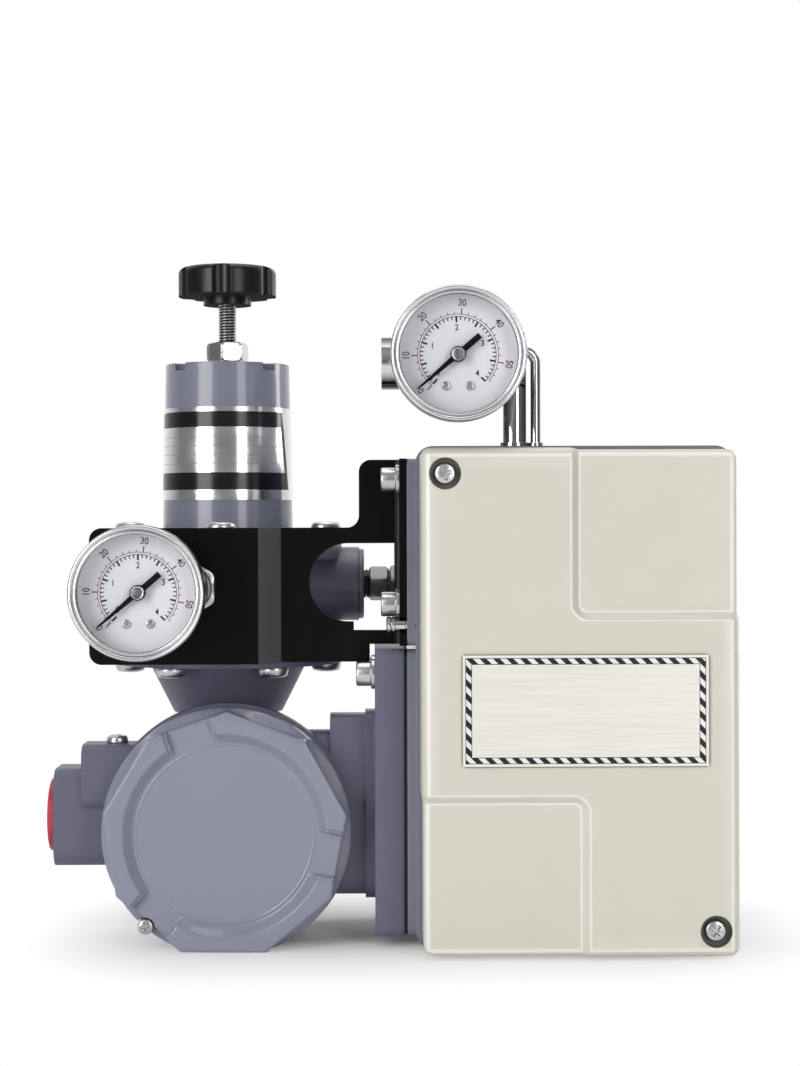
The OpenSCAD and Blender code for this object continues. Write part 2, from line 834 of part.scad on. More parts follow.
module terminal_block() {
    color([0.2, 0.2, 0.22]) difference() {
        translate([jb_x - 24, jb_y2 - jb_wall - 12, jb_z - 18]) cube([48, 12, 16]);
        for (i = [0:3])
            translate([jb_x - 18 + 12 * i, 0, jb_z - 10]) rod_y(2 + fit, jb_y2 - jb_wall - 13, jb_y2 - jb_wall - 4);
    }
}

module terminal_screws() {
    color([0.8, 0.75, 0.5]) for (i = [0:3])
        translate([jb_x - 18 + 12 * i, jb_y2 - jb_wall - 12, jb_z - 10])
            head_front() pan_screw(2, 7, 3.6, 2.2);
}

module flange_gasket() {
    color([0.1, 0.1, 0.1]) difference() {
        prism_x(flange_x1, pad_x) translate([flange_yc, flange_zc]) rounded(flange_d - 1, flange_h - 1, 3);
        translate([0, neck_y, neck_z]) rod_x(wire_r, flange_x1 - 1, pad_x + 1);
        for (y = flange_screw_y, z = [flange_screw_z, flange_low_z])
            translate([0, y, z]) rod_x(m6_r + fit, flange_x1 - 1, pad_x + 1);
    }
}

// The upper pair goes in from outside, the lower pair from inside the case
module flange_screws() {
    outside = flange_t + flange_gasket_t + m6_grip;
    inside = case_wall + pad_proud + flange_gasket_t + flange_t - 4;
    color([0.8, 0.8, 0.8]) for (y = flange_screw_y) {
        translate([flange_x0, y, flange_screw_z]) head_left() {
            washer(washer_r, m6_r + fit, washer_t);
            translate([0, 0, washer_t]) cap_screw(m6_r, outside + washer_t, m6_head_r, m6_head_h);
        }
        translate([case_side + case_wall, y, flange_low_z]) rotate([0, 90, 0])
            cap_screw(m6_r, inside, m6_head_r, m6_head_h);
    }
}

// Air-set regulator

module at_reg() {
    translate([reg_x, reg_y, 0]) children();
}

module low_screws_at() {
    for (a = [0:60:300]) rotate(a) translate([reg_pcd_r, 0, 0]) children();
}

module top_screws_at() {
    for (a = [0:90:270]) rotate(a) translate([reg_pcd_r, 0, 0]) children();
}

module regulator_body() {
    front = pad_y - reg_y;
    color([0.5, 0.51, 0.56]) at_reg() difference() {
        union() {
            rod_z(reg_r, body_z0, reg_mid_z);
            rod_z(reg_flange_r, body_z0, body_z0 + 6);
            rod_z(reg_flange_r, reg_mid_z - 8, reg_mid_z);
            translate([0, 0, port_z]) rod_x(port_boss_r, -port_reach, port_reach);
            translate([-left_gauge_off / 2 - hex_off / 2, 0, port_z - 0.5])
                prism_y(front, 0) rounded(front_pad_w, front_pad_h, 8);
        }
        rod_z(low_cavity_r, body_z0 - 1, web_z0);
        rod_z(4.5, web_z0 - 1, web_z1 + 1);
        rod_z(36, web_z1, reg_mid_z + 1);
        for (sx = [-1, 1]) {
            rotate(sx < 0 ? 180 : 0) translate([0, 0, port_z]) {
                rod_x(port_r, port_reach - port_thread, port_reach + 1);
                rod_x(4.4, 22, port_reach - port_thread + 1);
            }
        }
        translate([-25, 0, 0]) rod_z(4, web_z0 - 1, port_z);
        translate([25, 0, 0]) rod_z(4, port_z, web_z1 + 1);
        translate([-left_gauge_off, 0, port_z - 1]) rod_y(port_r, front - 1, front + 14);
        translate([-hex_off, 0, port_z]) rod_y(port_r, front - 1, front + 13);
        low_screws_at() rod_z(m6_r + fit, body_z0 - 1, body_z0 + 5.5);
        top_screws_at() rod_z(m6_r + fit, reg_mid_z - 7.5, reg_mid_z + 1);
    }
}

module regulator_bonnet() {
    color([0.5, 0.51, 0.56]) at_reg() difference() {
        union() {
            rod_z(reg_flange_r, bonnet_z0, bonnet_flange_z);
            translate([0, 0, bonnet_flange_z - 1])
                cylinder(r1 = bonnet_r, r2 = bonnet_top_r, h = bonnet_z - bonnet_flange_z + 1);
        }
        rod_z(chamber_r, bonnet_z0 - 1, bonnet_z - 7);
        rod_z(stud_r + fit, bonnet_z - 8, bonnet_z + 1);
        top_screws_at() rod_z(m6_r + fit, bonnet_z0 - 1, bonnet_flange_z + 1);
        for (sx = [-1, 1], turn = [0, 180])
            rotate(turn) translate([sx * slot_x - slot_w / 2, -bonnet_r - 1, bonnet_z - slot_h])
                cube([slot_w, bonnet_r - 13, slot_h + 1]);
    }
}

function bonnet_r_at(z) = bonnet_r + (bonnet_top_r - bonnet_r) * (z - bonnet_flange_z + 1)
    / (bonnet_z - bonnet_flange_z + 1);

module bonnet_label() {
    low = bonnet_flange_z + 12.4;
    high = low + 39.5;
    color([0.8, 0.8, 0.8]) at_reg() rotate(165) rotate_extrude(angle = 210) polygon([
        [bonnet_r_at(low) + fit, low], [bonnet_r_at(low) + fit + 0.3, low],
        [bonnet_r_at(high) + fit + 0.3, high], [bonnet_r_at(high) + fit, high]
    ]);
}

module filter_bowl() {
    flange_low = reg_low_z - bowl_flange_t;
    color([0.5, 0.51, 0.56]) at_reg() difference() {
        union() {
            rod_z(reg_flange_r, flange_low, reg_low_z);
            translate([0, 0, bowl_z]) cylinder(r1 = bowl_low_r, r2 = bowl_r, h = flange_low - bowl_z + 0.5);
            rod_z(drain_boss_r, drain_boss_z, bowl_z + 1);
        }
        translate([0, 0, bowl_z + 3]) cylinder(r1 = bowl_low_r - 3, r2 = bowl_r - 4, h = flange_low - bowl_z - 3);
        rod_z(low_cavity_r, flange_low - 0.5, reg_low_z + 1);
        rod_z(drain_r + fit, drain_boss_z - 1, bowl_z + 5);
        low_screws_at() rod_z(m6_r + fit, flange_low - 1, reg_low_z + 1);
    }
}

module bowl_gasket() {
    color([0.1, 0.1, 0.1]) at_reg() difference() {
        rod_z(reg_flange_r, reg_low_z, body_z0);
        rod_z(low_cavity_r, reg_low_z - 1, body_z0 + 1);
        low_screws_at() rod_z(m6_r + fit, reg_low_z - 1, body_z0 + 1);
    }
}

module diaphragm() {
    color([0.12, 0.12, 0.13]) at_reg() difference() {
        rod_z(reg_flange_r, reg_mid_z, bonnet_z0);
        top_screws_at() rod_z(m6_r + fit, reg_mid_z - 1, bonnet_z0 + 1);
    }
}

module bonnet_screws() {
    color([0.8, 0.8, 0.8]) at_reg() top_screws_at() translate([0, 0, bonnet_flange_z])
        pan_screw(m6_r, bonnet_flange_t + diaphragm_t + 7, m6_pan_r, m6_low_h);
}

module bowl_screws() {
    color([0.8, 0.8, 0.8]) at_reg() low_screws_at() translate([0, 0, reg_low_z - bowl_flange_t])
        head_down() pan_screw(m6_r, bowl_flange_t + bowl_gasket_t + 5, m6_pan_r, m6_pan_h);
}

module range_spring() {
    color([0.6, 0.6, 0.62]) at_reg()
        coil_spring(spring_r, spring_wire_r, bonnet_z0 + low_seat_t + 0.1, seat_z - 0.1, 6, 16, 8);
}

module lower_spring_seat() {
    color([0.7, 0.7, 0.7]) at_reg() {
        rod_z(spring_r + 4, bonnet_z0, bonnet_z0 + low_seat_t);
        rod_z(spring_r - spring_wire_r - 0.5, bonnet_z0, bonnet_z0 + low_seat_t + 4);
    }
}

module upper_spring_seat() {
    color([0.7, 0.7, 0.7]) at_reg() {
        rod_z(spring_r + 4, seat_z, seat_z + seat_t);
        rod_z(spring_r - spring_wire_r - 0.5, seat_z - 4, seat_z + 1);
    }
}

module adjusting_stud() {
    color([0.82, 0.82, 0.84]) at_reg() rod_z(stud_r, seat_z + seat_t + 0.2, knob_z + knob_t - 6);
}

module knob_plan() {
    scallop_r = 5;
    difference() {
        circle(knob_r);
        for (a = [0:60:300]) rotate(a + 27) translate([knob_r + 2.6, 0]) circle(scallop_r);
    }
}

module knob() {
    color([0.05, 0.05, 0.06]) at_reg() difference() {
        union() {
            intersection() {
                prism_z(knob_z, knob_z + knob_t) knob_plan();
                translate([0, 0, knob_z]) rotate_extrude() {
                    square([knob_r - knob_edge, knob_t]);
                    square([knob_r, knob_t - knob_edge]);
                    translate([knob_r - knob_edge, knob_t - knob_edge]) circle(knob_edge);
                }
            }
            rod_z(10.4, knob_z - 3.7, knob_z + 1);
        }
        rod_z(stud_r + fit, knob_z - 4, knob_z + knob_t - 6);
    }
}

module lock_nut() {
    color([0.8, 0.8, 0.82]) at_reg() {
        translate([0, 0, bonnet_z]) washer(10, stud_r + fit, 1.5);
        difference() {
            prism_z(bonnet_z + 1.5, bonnet_z + 10) hexagon(16);
            rod_z(stud_r + fit, bonnet_z, bonnet_z + 11);
        }
    }
}

module supply_valve() {
    color([0.75, 0.65, 0.35]) at_reg() {
        rod_z(valve_r, web_z0 - 5, web_z0 - gap);
        rod_z(2, web_z0 - 10, reg_mid_z - gap);
    }
}

module valve_guide() {
    low = web_z0 - guide_h;
    color([0.7, 0.6, 0.3]) at_reg() difference() {
        rod_z(guide_r, low, web_z0);
        rod_z(valve_r + gap, low + 11, web_z0 + 1);
        rod_z(2 + fit, low + 5, low + 12);
    }
}

module filter_element() {
    color([0.85, 0.83, 0.75]) at_reg() difference() {
        rod_z(guide_r + 6, web_z0 - 32, web_z0);
        rod_z(guide_r + fit, web_z0 - guide_h, web_z0 + 1);
        rod_z(guide_r - 2, web_z0 - 29, web_z0 - guide_h + 1);
    }
}

module drain_cock() {
    color([0.72, 0.6, 0.3]) at_reg() {
        rod_z(drain_r, drain_boss_z - 6, bowl_z + 2);
        rod_z(7.5, drain_boss_z - 14, drain_boss_z - gap);
    }
}

module port_plug() {
    color([0.8, 0.8, 0.82]) translate([reg_x - hex_off, 0, port_z]) {
        prism_y(gauge_y0 + gauge_d + gap, bracket_y) rotate(30) hexagon(20.5);
        rod_y(port_r - fit, bracket_y - 1, pad_y + 12);
    }
}

module outlet_nipple() {
    x0 = reg_x + port_reach;
    color([0.75, 0.75, 0.77]) translate([0, reg_y, port_z]) {
        rod_x(port_r - fit, x0 - 12, case_side + case_wall + 4);
        prism_x(x0 + 4.5, x0 + 12.8) hexagon(13.4);
        prism_x(x0 + 13.4, pad_x - 0.5) hexagon(14.2);
    }
}

// Bracket: a joggled sheet with a window, bent forward onto the case's side

module bracket_plan() {
    bend = bend_r + sheet_t;
    translate([bracket_left_x, bracket_y]) square([joggle_x - bracket_left_x, sheet_t]);
    polygon([
        [joggle_x - 0.5, bracket_y], [joggle_x + 0.6, bracket_y],
        [joggle_x + joggle_w + 0.6, bracket_right_y], [joggle_x + joggle_w + 0.6, bracket_right_y + sheet_t],
        [joggle_x + joggle_w - 1, bracket_right_y + sheet_t], [joggle_x - 0.5, bracket_y + sheet_t]
    ]);
    translate([joggle_x + joggle_w, bracket_right_y]) square([pad_x - bend - joggle_x - joggle_w, sheet_t]);
    translate([pad_x - bend, bracket_right_y - bend_r]) intersection() {
        square([bend, bend]);
        difference() {
            circle(bend);
            circle(bend_r);
        }
    }
    translate([pad_x - sheet_t, bracket_y]) square([sheet_t, joggle_d - bend_r]);
}

// Front outline of the bracket, with its tab, its cut-back foot and its window
module bracket_face() {
    left = bracket_left_x;
    right = pad_x;
    corner = 5;
    difference() {
        union() {
            translate([(left + right) / 2, (bracket_z + bracket_top_z) / 2])
                rounded(right - left, bracket_top_z - bracket_z, corner);
            translate([right - corner - 1, bracket_z]) square([corner + 1, bracket_top_z - bracket_z]);
            translate([tab_x, bracket_z + 20]) square([right - tab_x, tab_z - corner - bracket_z - 20]);
            translate([tab_x + corner, tab_z - corner - 1]) square([right - tab_x - corner, corner + 1]);
            translate([tab_x + corner, tab_z - corner]) circle(corner);
            difference() {
                translate([tab_x - corner, bracket_top_z - 1]) square([corner + 1, corner + 1]);
                translate([tab_x - corner, bracket_top_z + corner]) circle(corner);
            }
        }
        translate([arm_x, bracket_z - 1]) square([right - arm_x + 1, flange_edge_z - bracket_z + 1]);
    }
}

module bracket() {
    window_x = reg_x + port_reach - 3;
    color([0.08, 0.08, 0.09]) difference() {
        intersection() {
            prism_z(bracket_z, tab_z) bracket_plan();
            prism_y(bracket_y - 1, bracket_right_y + sheet_t + 1) bracket_face();
        }
        prism_y(bracket_right_y - 1, bracket_right_y + sheet_t + 1) {
            translate([window_x - 1, port_z + window_step / 2]) circle(window_r - window_step / 2);
            translate([window_x - 1, port_z - window_r + window_step])
                square([4, 2 * window_r - window_step]);
            translate([window_x + 1.2, port_z - window_r])
                square([pad_x - bend_r - sheet_t - window_x - 1.2, 2 * window_r]);
        }
        translate([left_gauge_x, 0, left_gauge_z]) rod_y(port_r + fit, bracket_y - 1, pad_y + 1);
        translate([reg_x - hex_off, 0, port_z]) rod_y(port_r + fit, bracket_y - 1, pad_y + 1);
        for (z = bracket_screw_z)
            translate([0, bracket_screw_y, z]) rod_x(m6_r + fit, pad_x - sheet_t - 1, pad_x + 1);
        translate([pad_x - sheet_t - 1, bracket_y - 1, vent_z - vent_r - 0.5])
            cube([sheet_t + 2, vent_y - bracket_y + vent_r + 1.5, 2 * vent_r + 1]);
    }
}

module bracket_screws() {
    color([0.8, 0.8, 0.8]) for (z = bracket_screw_z)
        translate([pad_x - sheet_t, bracket_screw_y, z]) head_left() {
            washer(washer_r, m6_r + fit, washer_t);
            translate([0, 0, washer_t]) cap_screw(m6_r, washer_t + sheet_t + m6_grip, m6_head_r, m6_head_h);
        }
}

module vent_plug() {
    color([0.8, 0.8, 0.82]) translate([0, vent_y, vent_z])
        rod_x(vent_r, pad_x - 8.5, case_side + case_wall);
}

// Gauges

module at_gauges() {
    for (p = [[left_gauge_x, left_gauge_z], [top_gauge_x, top_gauge_z]])
        translate([p[0], gauge_y0, p[1]]) children();
}

// Back cup with the dial's ledge, the dial and the movement's block
module gauge_case(stem_l) {
    ledge = dial_depth + dial_t;
    difference() {
        union() {
            difference() {
                rod_y(gauge_case_r, lip_t + lens_t, gauge_d);
                rod_y(gauge_case_r - 1, 0, gauge_d - 1.5);
            }
            rod_y(gauge_case_r - 0.5, dial_depth, ledge + 2);
            rod_y(6, ledge + 1, gauge_d - 1);
            prism_y(gauge_d - 0.5, gauge_d + 4 - gap) hexagon(14);
            rod_y(port_r - fit, gauge_d, gauge_d + stem_l);
        }
        rod_y(0.8 + fit, dial_depth - 1, dial_depth + 8);
    }
}

module gauge_cases() {
    color([0.75, 0.76, 0.78]) {
        translate([left_gauge_x, gauge_y0, left_gauge_z])
            gauge_case(pad_y + 12 - gauge_y0 - gauge_d);
        translate([top_gauge_x, gauge_y0, top_gauge_z])
            gauge_case(bar_y - bar_r + 6 - gauge_y0 - gauge_d);
    }
}

module gauge_bezels() {
    color([0.85, 0.85, 0.86]) at_gauges() turned_y(0) {
        translate([dial_open_r, 0]) square([bezel_r - lip_t - dial_open_r, lip_t]);
        translate([bezel_r - lip_t, lip_t]) intersection() {
            circle(lip_t);
            translate([0, -lip_t]) square(lip_t);
        }
        translate([bezel_r - lip_t, lip_t]) square([lip_t, 9]);
    }
}

module gauge_lenses() {
    color([0.9, 0.95, 1, 0.3]) at_gauges() rod_y(gauge_case_r, lip_t, lip_t + lens_t);
}

module pointer() {
    tip = 21.1;
    tail = 11.4;
    rotate([0, -pointer_rest, 0]) {
        prism_y(dial_depth - 3, dial_depth - 2) polygon([
            [-tail, 1.2], [-tail, -1.2], [0, -1.2], [tip, -0.3], [tip, 0.3], [0, 1.2]
        ]);
        rod_y(3.1, dial_depth - 3.8, dial_depth - 1);
        rod_y(0.8, dial_depth - 2, dial_depth + 7);
    }
}

module left_pointer() {
    color([0.05, 0.05, 0.05]) translate([left_gauge_x, gauge_y0, left_gauge_z]) pointer();
}

module top_pointer() {
    color([0.05, 0.05, 0.05]) translate([top_gauge_x, gauge_y0, top_gauge_z]) pointer();
}

// Manifold bar behind the top gauge, with its standpipe and signal tube down to the case
module gauge_manifold() {
    seat_z0 = case_h - case_wall;
    color([0.85, 0.85, 0.87]) difference() {
        union() {
            translate([0, bar_y, bar_z]) rod_x(bar_r, bar_x0, bar_x1);
            translate([pipe_x, bar_y, 0]) {
                rod_z(pipe_r, seat_z0, bar_z);
                rod_z(pipe_r + 1.2, case_h, case_h + 2);
            }
            translate([tube_x, bar_y, 0]) {
                rod_z(tube_r, seat_z0, tube_z - tube_bend);
                rod_z(tube_r + 1, case_h, case_h + 2);
            }
            translate([tube_x - tube_bend, bar_y, tube_z - tube_bend]) rotate([90, 0, 0])
                rotate_extrude(angle = 90) translate([tube_bend, 0]) circle(tube_r);
            translate([0, bar_y, tube_z]) rod_x(tube_r, bar_x1 - 2, bar_x1);
        }
        translate([0, bar_y, bar_z]) rod_x(port_r, bar_x0 - 1, bar_x0 + 12);
        translate([top_gauge_x, 0, top_gauge_z]) rod_y(port_r, bar_y - bar_r - 1, bar_y - bar_r + 7);
    }
}

case_base();
front_cover();
cover_gasket();
cover_screws();
nameplate();
mechanism_plate();
torque_motor_yoke();
torque_motor_magnet();
torque_motor_coil();
armature_pivot();
armature_beam();
nozzle_block();
pilot_relay();
zero_adjuster();
feedback_shaft();
shaft_bush();
feedback_arm();
feedback_cam();
feedback_spring();
feedback_lever();
lever_clamp_screw();
junction_box_body();
junction_box_cover();
junction_box_seal();
cover_lock_screw();
conduit_plug();
earth_screw();
terminal_block();
terminal_screws();
flange_gasket();
flange_screws();
regulator_body();
regulator_bonnet();
bonnet_label();
filter_bowl();
bowl_gasket();
diaphragm();
bonnet_screws();
bowl_screws();
range_spring();
lower_spring_seat();
upper_spring_seat();
adjusting_stud();
knob();
lock_nut();
supply_valve();
valve_guide();
filter_element();
drain_cock();
port_plug();
outlet_nipple();
bracket();
bracket_screws();
vent_plug();
gauge_cases();
gauge_bezels();
gauge_lenses();
left_pointer();
top_pointer();
gauge_manifold();
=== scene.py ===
"""Valve positioner with air-set regulator, gauges and junction box: dressing and studio.

Sizes and places are in millimetres and angles in degrees, unless a docstring says otherwise.
"""
import logging
import math
from dataclasses import dataclass
from enum import Enum
from typing import ClassVar

import bmesh
import bpy
from mathutils import Matrix, Vector


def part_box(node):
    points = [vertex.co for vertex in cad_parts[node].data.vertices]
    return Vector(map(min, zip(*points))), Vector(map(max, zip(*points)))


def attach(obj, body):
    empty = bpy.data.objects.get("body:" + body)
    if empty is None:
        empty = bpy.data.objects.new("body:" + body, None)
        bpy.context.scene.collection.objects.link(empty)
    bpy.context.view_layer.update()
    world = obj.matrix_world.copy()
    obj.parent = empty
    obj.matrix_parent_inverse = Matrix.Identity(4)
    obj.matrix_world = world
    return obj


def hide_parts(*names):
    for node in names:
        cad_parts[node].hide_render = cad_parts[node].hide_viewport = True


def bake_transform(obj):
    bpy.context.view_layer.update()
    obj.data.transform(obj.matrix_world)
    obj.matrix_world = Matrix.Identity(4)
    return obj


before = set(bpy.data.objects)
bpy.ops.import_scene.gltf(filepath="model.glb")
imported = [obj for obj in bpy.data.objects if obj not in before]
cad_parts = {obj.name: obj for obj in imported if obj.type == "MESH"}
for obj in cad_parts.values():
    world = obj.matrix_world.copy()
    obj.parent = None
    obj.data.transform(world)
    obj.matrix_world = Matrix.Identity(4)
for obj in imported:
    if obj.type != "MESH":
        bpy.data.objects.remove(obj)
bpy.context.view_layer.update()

Pair = tuple[float, float]
Point = tuple[float, float, float]
Ring = list[Point]
Pairs = tuple[Pair, ...]
Outline = Pairs
Face = tuple[int, ...]
Colour = tuple[float, float, float, float]
Socket = bpy.types.NodeSocket
Piece = bpy.types.Object
Material = bpy.types.Material

LOG = logging.getLogger("positioner")
MM = 0.001
FULL_TURN = 2 * math.pi
SHARP = 35.0
NODE_SHARP = 28.0
OVERLAP = 1.0
REGULATOR_AXIS: Pair = (-145.0, 25.0)
PORT_Z = 147.0
COVER_SCREWS: Pairs = ((-53.3, 192.7), (53.3, 11.8))
LOCK_SCREW: Pair = (-174.41, 9.89)
BOX_FACES: tuple[Face, ...] = (
    (0, 1, 2, 3), (7, 6, 5, 4), (0, 4, 5, 1), (1, 5, 6, 2), (2, 6, 7, 3), (3, 7, 4, 0))


def clamp(value: float) -> float:
    """The value, held between 0 and 1."""
    return min(1.0, max(0.0, value))


def polar(radius: float, angle: float, height: float) -> Point:
    """The point at a radius, an angle in radians and a height."""
    return (radius * math.cos(angle), radius * math.sin(angle), height)


def put(name: str, data: bpy.types.ID) -> Piece:
    """Make an object of some data and link it to the scene.

    Args:
        name: the object's name.
        data: its mesh, curve, camera or lamp.
    Returns:
        The object.
    """
    made = bpy.data.objects.new(name, data)
    bpy.context.scene.collection.objects.link(made)
    return made


def srgb(red: float, green: float, blue: float) -> Colour:
    """Turn a colour of 0 to 255 into linear light.

    Args:
        red, green, blue: the colour as it looks on a screen.
    Returns:
        Linear red, green and blue with an alpha of 1.
    """
    def linear(value: float) -> float:
        """Linear light of one channel."""
        part = value / 255.0
        return part / 12.92 if part <= 0.04045 else ((part + 0.055) / 1.055) ** 2.4

    return (linear(red), linear(green), linear(blue), 1.0)


class Body(Enum):
    """The bodies that pieces ride on."""

    CASE = "case"
    KNOB = "knob"
    SEAT = "spring_seat"
    LEFT_POINTER = "left_pointer"
    TOP_POINTER = "top_pointer"
    FEEDBACK = "feedback"


class Slot(Enum):
    """Names of the record's material slots, passed along with the pieces made here."""

    FASTENER = "fastener"
    COVER_PAINT = "cover_paint"
    GREY_PAINT = "grey_paint"
    GAUGE_STEEL = "gauge_steel"
    POINTER_BLACK = "pointer_black"
    MACHINED_STEEL = "machined_steel"
    SPRING_STEEL = "spring_steel"
    CHROME = "chrome"


class Graph:
    """The node tree of a material or of the world, with short calls to fill it."""

    NOISE_SPAN: Pair = (0.3, 0.7)
    MIX_INPUTS: tuple[int, int, int] = (0, 6, 7)
    MIX_OUTPUT: int = 2

    def __init__(self, name: str, world: bpy.types.World | None = None) -> None:
        """Start an empty material, or empty a world's nodes.

        Args:
            name: the material's name.
            world: the world to fill instead of a material.
        """
        self.material = world or bpy.data.materials.new(name)
        self.material.use_nodes = True
        self.tree = self.material.node_tree
        self.tree.nodes.clear()

    def node(self, kind: str, inputs: dict | None = None, **settings: object) -> bpy.types.Node:
        """Add a node.

        Args:
            kind: the node's type name without its ShaderNode prefix.
            inputs: socket name or number to a value or to another node's socket.
            settings: attributes of the node.
        Returns:
            The node.
        """
        made = self.tree.nodes.new("ShaderNode" + kind)
        for key, value in settings.items():
            setattr(made, key, value)
        for key, value in (inputs or {}).items():
            self.plug(made.inputs[key], value)
        return made

    def plug(self, socket: Socket, value: object) -> None:
        """Link a socket's value, or set it.

        Args:
            socket: the input to fill.
            value: another node's output, or a plain value.
        """
        if isinstance(value, Socket):
            self.tree.links.new(value, socket)
        else:
            socket.default_value = value

    def math(self, operation: str, *values: object) -> Socket:
        """Do one arithmetic step.

        Args:
            operation: the step's name in the math node.
            values: sockets or numbers.
        Returns:
            The result's socket.
        """
        made = self.node("Math", operation=operation)
        for socket, value in zip(made.inputs, values):
            self.plug(socket, value)
        return made.outputs[0]

    def band(self, value: Socket, low: float, high: float) -> Socket:
        """Mark where a value lies between two limits.

        Args:
            value: the value.
            low, high: the limits.
        Returns:
            A socket that is 1 inside and 0 outside.
        """
        above = self.math("GREATER_THAN", value, low)
        below = self.math("LESS_THAN", value, high)
        return self.math("MULTIPLY", above, below)

    def mix(self, factor: object, first: object, second: object) -> Socket:
        """Mix two colours.

        Args:
            factor: the second colour's share.
            first, second: the colours.
        Returns:
            The mixed colour's socket.
        """
        made = self.node("Mix", data_type="RGBA")
        for index, value in zip(self.MIX_INPUTS, (factor, first, second)):
            self.plug(made.inputs[index], value)
        return made.outputs[self.MIX_OUTPUT]

    def place(self) -> Socket:
        """The surface point in the object's own metres."""
        return self.node("TexCoord").outputs["Object"]

    def axes(self) -> tuple[Socket, Socket, Socket]:
        """X, Y and Z of the surface point as three sockets."""
        split = self.node("SeparateXYZ", {0: self.place()})
        return split.outputs[0], split.outputs[1], split.outputs[2]

    def noise(self, scale: float, detail: float, stretch: Point = (1, 1, 1)) -> Socket:
        """Make noise from 0 to 1 over the object's own metres.

        Args:
            scale: how fine it is.
            detail: how many finer layers it has.
            stretch: how much finer it is along each axis.
        Returns:
            The noise's socket.
        """
        mapped = self.node("Mapping", {"Vector": self.place(), "Scale": stretch})
        inputs = {"Vector": mapped.outputs[0], "Scale": scale, "Detail": detail}
        return self.node("TexNoise", inputs).outputs["Fac"]

    def spread(self, value: Socket, low: float, high: float) -> Socket:
        """Noise, mapped onto low to high."""
        return self.ramp(value, *self.NOISE_SPAN, low, high)

    def ramp(self, value: object, start: float, stop: float, low: object, high: object) -> Socket:
        """Map a value from start and stop onto low and high, and hold it there outside them."""
        return self.node("MapRange", {0: value, 1: start, 2: stop, 3: low, 4: high}).outputs[0]

    def finish(self, shader: bpy.types.Node) -> Material:
        """Send a shader to the surface.

        Args:
            shader: the shader's node.
        Returns:
            The material or the world.
        """
        is_world = isinstance(self.material, bpy.types.World)
        out = self.node("OutputWorld" if is_world else "OutputMaterial")
        self.tree.links.new(shader.outputs[0], out.inputs["Surface"])
        return self.material


@dataclass(frozen=True)
class Paint:
    """A painted, plated or moulded surface with fine grain, mottling and softened edges, its edges
    lightened by the edge tone as wear and as a painted highlight.

    Faces turned sideways, up or down by the side range's start to its stop, and by less than its
    end, take on the side colour, which is painted light and shade: lighter side colours paint
    highlights, darker ones paint shade and dark reflections.
    """

    EDGE_WEAR_AND_HIGHLIGHT: ClassVar[Pair] = (0.99, 0.85)
    EDGE_WEAR_AND_HIGHLIGHT_SHARE: ClassVar[float] = 0.8
    GRAIN_DEPTH: ClassVar[float] = 0.2
    GLOSS_SPREAD: ClassVar[float] = 0.06
    UNDERSIDE: ClassVar[float] = -0.7
    COAT_ROUGH: ClassVar[float] = 0.07

    name: str
    colour: Point
    rough: float = 0.4
    metal: float = 0.0
    mottle: float = 0.06
    mottle_scale: float = 60.0
    grain: float = 0.12
    grain_scale: float = 900.0
    edge: float = 0.6
    edge_tone: float = 1.12
    coat: float = 0.0
    shine: float = 0.5
    matte_under: bool = False
    painted_side_light: Point | None = None
    painted_side_light_from: float = 0.5
    painted_side_light_to: float = 0.9
    painted_side_light_end: float = 0.975

    def material(self) -> Material:
        """Build the node material.

        Returns:
            The material.
        """
        graph = Graph(self.name)
        base = srgb(*self.colour)
        dark, pale, worn_and_lit = (tuple(min(1.0, c * gain) for c in base[:3]) + (1.0,)
                            for gain in (1 - self.mottle, 1 + self.mottle, self.edge_tone))
        broad = graph.noise(self.mottle_scale, 4.0)
        fine = graph.noise(self.grain_scale, 2.0)
        bevel = graph.node("Bevel", {"Radius": self.edge * MM}, samples=4)
        flat = graph.node("NewGeometry").outputs["Normal"]
        turn = graph.node("VectorMath", {0: bevel.outputs[0], 1: flat}, operation="DOT_PRODUCT")
        # Edges found from the bevel normal take the lighter edge tone: partly edge wear, partly a
        # painted highlight on the edges.
        rim = graph.ramp(turn.outputs["Value"], *self.EDGE_WEAR_AND_HIGHLIGHT, 0.0, self.EDGE_WEAR_AND_HIGHLIGHT_SHARE)
        tone = graph.mix(graph.spread(broad, 0.0, 1.0), dark, pale)
        tone = graph.mix(rim, tone, worn_and_lit)
        turned = graph.node("SeparateXYZ", {0: flat}).outputs
        # Painted light and shade: faces turned sideways, up or down take the side colour.
        if self.painted_side_light is not None:
            sideways = graph.math("ABSOLUTE", turned[0])
            across = graph.math("MAXIMUM", sideways, graph.math("ABSOLUTE", turned[2]))
            share = graph.ramp(across, self.painted_side_light_from, self.painted_side_light_to, 0.0, 1.0)
            share = graph.math("MULTIPLY", share, graph.math("LESS_THAN", across, self.painted_side_light_end))
            tone = graph.mix(share, tone, srgb(*self.painted_side_light))
        bump = graph.node("Bump", {"Strength": self.grain, "Distance": self.GRAIN_DEPTH * MM,
                                   "Height": fine, "Normal": bevel.outputs[0]})
        gloss = graph.spread(broad, self.rough * (1 - self.GLOSS_SPREAD),
                             min(1.0, self.rough * (1 + self.GLOSS_SPREAD)))
        if self.matte_under:
            under = graph.math("LESS_THAN", turned[2], self.UNDERSIDE)
            gloss = graph.math("MAXIMUM", gloss, under)
        shader = graph.node("BsdfPrincipled", {
            "Base Color": tone,
            "Metallic": self.metal,
            "Roughness": gloss,
            "Normal": bump.outputs[0],
            "Coat Weight": self.coat,
            "Coat Roughness": self.COAT_ROUGH,
            "Specular IOR Level": self.shine,
        })
        return graph.finish(shader)


